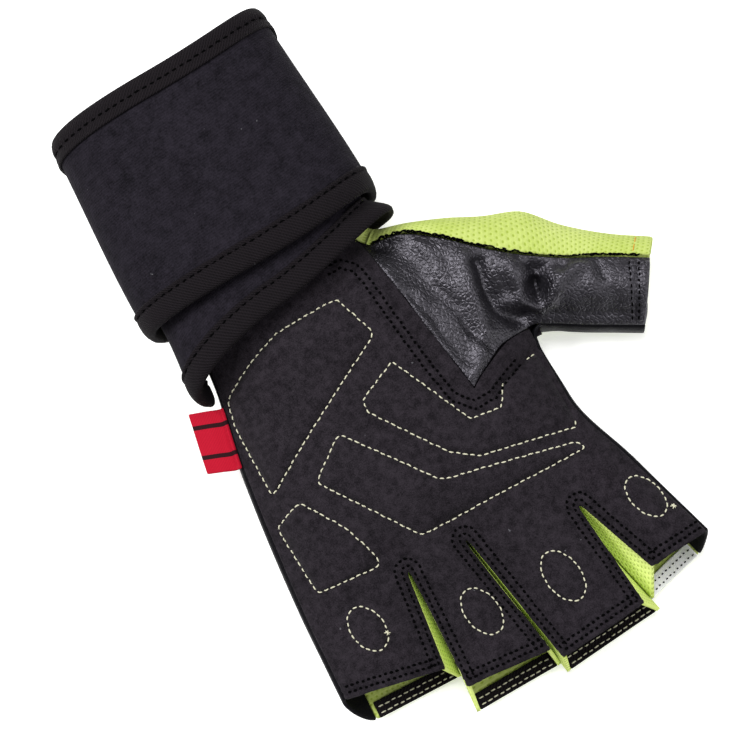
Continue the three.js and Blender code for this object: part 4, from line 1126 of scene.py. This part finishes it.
def neoprene_finish():
    material, tree, shader = finish_of("neoprene", (0.008, 0.008, 0.0095), 0.9, 0.06)
    place = put(tree, "TexCoord")
    knit = use(tree, weave, {"Vector": place.outputs["UV"], "Pitch": 0.0008, "Slant": 0.05})
    fibres = use(tree, nap, {"Vector": place.outputs["Object"], "Scale": 1500.0})
    slow = put(tree, "TexNoise", {"Vector": place.outputs["Object"], "Scale": 40.0, "Detail": 4})
    mixed = sum_of(tree, fibres.outputs["Tone"], times(tree, slow.outputs[0], 0.12))
    share = sum_of(tree, times(tree, knit.outputs["Tone"], 0.25), spread(tree, mixed, 0.41, 0.76))
    woven = blend_colours(tree, share, (0.003, 0.0026, 0.0038, 1), (0.017, 0.0145, 0.0205, 1))
    dust(tree, shader, place.outputs["Object"], woven, 200.0, 0.3, 0.5, (0.17, 0.17, 0.18, 1))
    both = sum_of(tree, times(tree, knit.outputs["Height"], 0.5), fibres.outputs["Height"])
    relief(tree, shader, both, 0.12, 0.9)
    return material


strap.data.materials.append(neoprene_finish())


def high_edge(turns):
    return low_edge(turns) + WRAP_WIDTH


# A tape's outer side lies on the strap in soft waves and is pinched where its stitches run
tape_outer = [
    (8, -0.3), (8, -0.7), (7.7, -1.0), (7.2, -0.95), (6.6, -0.8), (5.9, -0.85),
    (4.6, -0.85), (3.2, -0.75), (2.2, -0.6), (1.2, -0.3), (0.45, 0.15), (0.08, 0.7),
]
tape_profile = tape_outer + [(0, 1.3)] + [(a, WRAP_WALL - d) for a, d in tape_outer[::-1]]
inside = [
    (8, 2.86), (5, 2.86), (3, 2.84), (1.7, 2.5), (1.0, 2.1),
    (0.7, 1.3), (1.0, 0.5), (1.7, 0.1), (3, -0.24), (5, -0.26),
]
tapes = []
for name, edge_of, inward, seam in (("low", low_edge, 1, 6.6), ("high", high_edge, -1, 4.6)):
    pucker = [0.65 * dent(a, seam, 0.45) * (1 if d < 1.3 else -1) for a, d in tape_profile]
    pucker += [0] * len(inside)
    tape = wound("wrap_tape_" + name, tape_profile + inside, edge_of, inward, wrap_turns, pucker)
    tape.data.materials.append(TAPE)
    tapes.append((tape, edge_of, inward * seam))
    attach(tape, "root")
    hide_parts("wrap_binding_" + name)


def patch_middle(turns):
    return (low_edge(turns) + low_edge(turns - 1) + WRAP_WIDTH) / 2


patch_profile = [(-20, -1.95), (20, -1.95), (20, -0.35), (-20, -0.35)]
patch = wound("wrap_hook_patch", patch_profile, patch_middle, 1, np.linspace(1.6, WRAP_END, 40))
patch.data.materials.append(TAPE)
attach(patch, "root")
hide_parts("closure_patch")

# ---- Side tag ----
# A red woven tag, folded double and caught in the seam on the little finger's side. It is plain but for two woven
# stripes.
TAG_MIDDLE, TAG_WIDTH = -18.9, 19
tag_y = TAG_MIDDLE - (np.linspace(0, 1, 30) - 0.5) * TAG_WIDTH
tag_row = 10 * (22 - tag_y) / (22 - CROTCH_Y[0])
side = side_wall(0, 0.0, tag_row, 0.35, ulnar_bulge(tag_row), 5)
lift = palm_edge(0, 0.0, tag_row)[1] * 0.65
start, shoulder = side[:, 0] + lift, side[:, 1] + lift + np.array((-0.3, 0, 0.2))
tip = start + np.array((-10, 4, -3.5))
bend = shoulder + (tip - shoulder) * 0.4 + np.array((0, 0, 0.5))
knots = np.stack([start, shoulder, bend, tip], 1)
columns = []
for t in np.linspace(0, 3, 25):
    i = min(int(t), 2)
    u = t - i
    before = knots[:, max(i - 1, 0)]
    after = knots[:, min(i + 2, 3)]
    a, b = knots[:, i], knots[:, i + 1]
    curve = (b - before) * u + (2 * before - 5 * a + 4 * b - after) * u**2
    columns.append(0.5 * (2 * a + curve + (3 * a - 3 * b + after - before) * u**3))
tag_grid = np.stack(columns, 1)
tag_grid[..., 2] += 1.0
tag = cloth_piece("red_tag", [tag_grid], (0, 0, 1))
give_wall(tag, 1.0)
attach(tag, "root")
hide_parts("side_tag")
material, tree, shader = finish_of("woven_red", (0.6, 0.008, 0.03), 0.75, 0.1)
place = put(tree, "TexCoord")
cloth = use(tree, weave, {"Vector": place.outputs["UV"], "Pitch": 0.0005, "Slant": 0.0})
shade = blend_colours(tree, cloth.outputs["Tone"], (0.31, 0.003, 0.015, 1), (0.46, 0.006, 0.025, 1))
apart = put(tree, "SeparateXYZ", {0: place.outputs["UV"]})
stripes = sum_of(tree, apart.outputs[1], 0.0095, "SUBTRACT")
from_stripe = single(tree, sum_of(tree, single(tree, stripes, "ABSOLUTE"), 0.0048, "SUBTRACT"), "ABSOLUTE")
paint(tree, shader, sum_of(tree, from_stripe, 0.0007, "LESS_THAN"), shade, (0.02, 0.004, 0.006, 1))
relief(tree, shader, cloth.outputs["Height"], 0.06, 0.8)
tag.data.materials.append(material)

# ---- Stitches ----
# Cream thread round the pads, with a knot on two of the ovals, and on the black bands. Black thread in double rows
# along the slits, the hems, the thumb's V and its open end, and in one row along each tape and twice on the white
# band. A stitch is a short length of thread whose two ends dive into the needle holes.
PAD_PITCH, OVAL_PITCH, CREAM_SHARE, CREAM_THICK = 2.15, 1.95, 0.74, 0.5
SEAM_THREAD = 1.8, 0.6, 0.78
THUMB_END_ROWS, TAPE_ROWS, FRAY_LOWEST = (0.935, 0.965), ((0.06, 0.46), (1.03, 1.47)), 10


def stitch_shapes(path, onto, pitch, share, thick, closed=False, high=0.0, lowest=-1.0):
    """Points and faces of the stitches along a plan path, laid on what is under it and left out where that drops."""
    path = along_path(path, 0.35, closed)
    if closed:
        path = np.vstack([path, path[:1]])
    lengths = np.cumsum(np.r_[0, np.linalg.norm(np.diff(path, axis=0), axis=1)])
    count = max(1, int(round(lengths[-1] / pitch)))
    step = lengths[-1] / count
    rings = []
    for i in range(count):
        sway = 0.1 * math.sin(i * 2.4)
        places = step * (i + 0.5 + np.linspace(-0.5, 0.5, 6) * share * (1 + 0.12 * math.sin(i * 1.7)))
        centres, normals = [], []
        for p in places:
            found = drop(onto, np.interp(p, lengths, path[:, 0]), np.interp(p, lengths, path[:, 1]))
            if found is None or found[0][2] < lowest:
                break
            centres.append(found[0])
            normals.append(found[1])
        if len(centres) < 6 or np.ptp(np.array(centres)[:, 2]) > 4:
            continue
        centres, normals = np.array(centres), unit(np.array(normals))
        run = unit(np.gradient(centres, axis=0))
        side = unit(np.cross(run, normals))
        for k, t in enumerate(np.linspace(0, 1, 6)):
            swell = math.sin(math.pi * t)
            radius = thick / 2 * (0.5 + 0.5 * math.sqrt(swell) if swell > 0 else 0.35)
            rise = thick * (0.1 + 0.36 * math.sqrt(max(swell, 0))) - (0.16 if k in (0, 5) else 0) + high
            middle = centres[k] + normals[k] * rise + side[k] * sway
            for a in np.linspace(0, 2 * math.pi, 7)[:-1]:
                rings.append(middle + side[k] * radius * math.cos(a) + normals[k] * radius * 0.8 * math.sin(a))
    faces = []
    for i in range(0, len(rings), 36):
        for k in range(5):
            for a in range(6):
                b = (a + 1) % 6
                faces.append([i + k * 6 + a, i + k * 6 + b, i + k * 6 + 6 + b, i + k * 6 + 6 + a])
        faces.append([i + a for a in range(5, -1, -1)])
        faces.append([i + 30 + a for a in range(6)])
    return rings, faces


def thread_piece(name, runs, material):
    points, faces = [], []
    for rings, made in runs:
        faces += [[i + len(points) for i in face] for face in made]
        points += rings
    mesh = bpy.data.meshes.new(name)
    mesh.from_pydata(metres(points).tolist(), [], faces)
    piece = place_piece(name, mesh)
    bpy.ops.object.mode_set(mode="EDIT")
    bpy.ops.mesh.select_all(action="SELECT")
    bpy.ops.mesh.normals_make_consistent(inside=False)
    bpy.ops.object.mode_set(mode="OBJECT")
    mesh.shade_smooth()
    piece.data.materials.append(material)
    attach(piece, "root")
    return piece


def thread_finish(name, dark, light, rough, specular=0.15):
    material, tree, shader = finish_of(name, light, rough, specular)
    place = put(tree, "TexCoord").outputs["Object"]
    twist = put(tree, "TexNoise", {"Vector": place, "Scale": 2200.0, "Detail": 2}).outputs[0]
    paint(tree, shader, twist, (*dark, 1), (*light, 1))
    relief(tree, shader, twist, 0.08, 0.7)
    return material


CREAM = thread_finish("thread_cream", (0.4, 0.39, 0.27), (0.76, 0.74, 0.57), 0.6)
BLACK = thread_finish("thread_black", (0.0006, 0.0006, 0.0007), (0.0016, 0.0016, 0.0018), 0.8, 0.02)
cream_runs = []
for name, outline in outlines.items():
    if name != "upper":
        pitch = PAD_PITCH if name in PAD_OUTLINES else OVAL_PITCH
        cream_runs.append(stitch_shapes(outline, on_palm, pitch, CREAM_SHARE, CREAM_THICK, closed=True))
KNOTS = ((-22.6, -94.6), (71.6, -104.6))
UPPER_ROW = [
    (45.8, -46.5), (41.5, -53.1), (31.5, -51.7), (19.6, -25.1), (6.3, -30.8),
    (5.8, -34.8), (21, -57.1), (28.4, -62.7), (58.4, -68.9), (59.6, -66.8),
]
cream_runs.append(stitch_shapes(UPPER_ROW, on_palm, PAD_PITCH, CREAM_SHARE, CREAM_THICK))
cream_runs.append(stitch_shapes([(55.6, -43.6), (59, -43)], on_palm, 1.7, 0.7, CREAM_THICK))
for x, y in KNOTS:
    for across, up in ((1.0, -0.5), (0.6, 0.7), (-0.3, 0.9)):
        ends = [(x - across, y - up), (x + across, y + up)]
        cream_runs.append(stitch_shapes(ends, on_palm, 2.2, 0.9, 0.45, high=0.25))
band_black = []
for i, (band, places) in enumerate(zip(bands, band_rows_at)):
    on_band = surface_of(band)
    for row in places:
        path = [tuple(p[:2]) for p in back_point(i, np.linspace(0.08, 0.92, 14), np.full(14, row))]
        run = stitch_shapes(path, on_band, 1.5 if i == 3 else 2.1, 0.5 if i == 3 else 0.75, 0.45)
        (band_black if i == 3 else cream_runs).append(run)
thread_piece("stitches_cream", cream_runs, CREAM)


def beside(line, distance):
    """A path round a slit at one distance from it: up one side, round its tip and down the other."""
    a, tip, b = (np.array(p) for p in line)
    sides = []
    for start, end in ((a, tip), (tip, b)):
        run = (end - start) / np.linalg.norm(end - start)
        sides.append(np.array((-run[1], run[0])))
    first, last = math.atan2(sides[0][1], sides[0][0]), math.atan2(sides[1][1], sides[1][0])
    if last > first:
        last -= 2 * math.pi
    path = [a + sides[0] * distance]
    for angle in np.linspace(first, last, 9):
        path.append(tip + distance * np.array((math.cos(angle), math.sin(angle))))
    path.append(b + sides[1] * distance)
    return path


black_runs = band_black
for line in SLITS:
    for distance in SLIT_ROWS:
        path = beside(line, distance)
        first, last = path[0], path[-1]
        path[0] = first + (path[1] - first) * 0.05
        path[-1] = last + (path[-2] - last) * 0.05
        black_runs.append(stitch_shapes(path, on_palm, *SEAM_THREAD))
for i, (left, right) in enumerate(HEMS):
    left, right = np.array(left), np.array(right)
    for distance in HEM_ROWS:
        raised = np.array((0, distance))
        inset = (right - left) * 0.06
        black_runs.append(stitch_shapes([left + raised + inset, right + raised - inset], on_palm, *SEAM_THREAD))
V_ROW = [
    (15.4, 9.6), (21.5, 9.6), (25.2, 5.8), (26.3, 1), (27.2, -9), (28.2, -20),
    (29.6, -32), (31.3, -42.5), (35.2, -47.5), (40.4, -47.4), (46, -44.8), (53, -42),
]
TO_OUTER_ROW = [
    (0.2, -2.4), (-1.2, -2.4), (-2.3, -1.2), (-2.4, -0.4), (-2.4, -0.2), (-2.4, -0.2),
    (-2.4, -0.3), (-2.1, -1.4), (-0.9, -2.4), (0.9, -2.4), (1.2, -2.2), (0.8, -2.2),
]
inner_row = np.array(V_ROW)
for path in (inner_row, inner_row + np.array(TO_OUTER_ROW)):
    black_runs.append(stitch_shapes(path, on_palm, *SEAM_THREAD))
on_leather = surface_of(leather)
for at in THUMB_END_ROWS:
    path = [tuple(p[:2]) for p in leather_point(np.full(12, at), np.linspace(0.06, 0.94, 12))]
    black_runs.append(stitch_shapes(path, on_leather, 1.75, 0.6, 0.55))
for tape, edge_of, across in tapes:
    for first, last in TAPE_ROWS:
        turns = np.linspace(first, last, 60)
        path = wrap_point(turns, edge_of(turns) + across, 3.3)[:, :2]
        black_runs.append(stitch_shapes(path, surface_of(tape), 2.6, 0.66, 0.6))
thread_piece("stitches_black", black_runs, BLACK)

# The cut edge of the leather frays over the lime mesh
on_thumb = surface_of(leather, thumb_wall)
seam = leather_point(np.linspace(0.03, 0.97, 260), 0.0)
fray_runs = []
for k in range(3):
    wander = np.stack([0.35 + 0.45 * ripple(seam, 1.6, 20 + k), 0.6 + 0.6 * ripple(seam, 1.3, 24 + k)], 1)
    path = seam[:, :2] + wander
    fray_runs.append(stitch_shapes(path, on_thumb, 0.75, 1.5, 0.55, lowest=FRAY_LOWEST))
thread_piece("leather_fray", fray_runs, BLACK)

# An orange seam end shows through the lime mesh at the thumb's opening
ORANGE = thread_finish("thread_orange", (0.5, 0.2, 0.01), (0.75, 0.33, 0.02), 0.6)
orange_run = stitch_shapes([(104.2, -27.2), (100.4, -31.6)], surface_of(thumb_wall), 3, 0.95, 0.28)
thread_piece("stitch_orange", [orange_run], ORANGE)
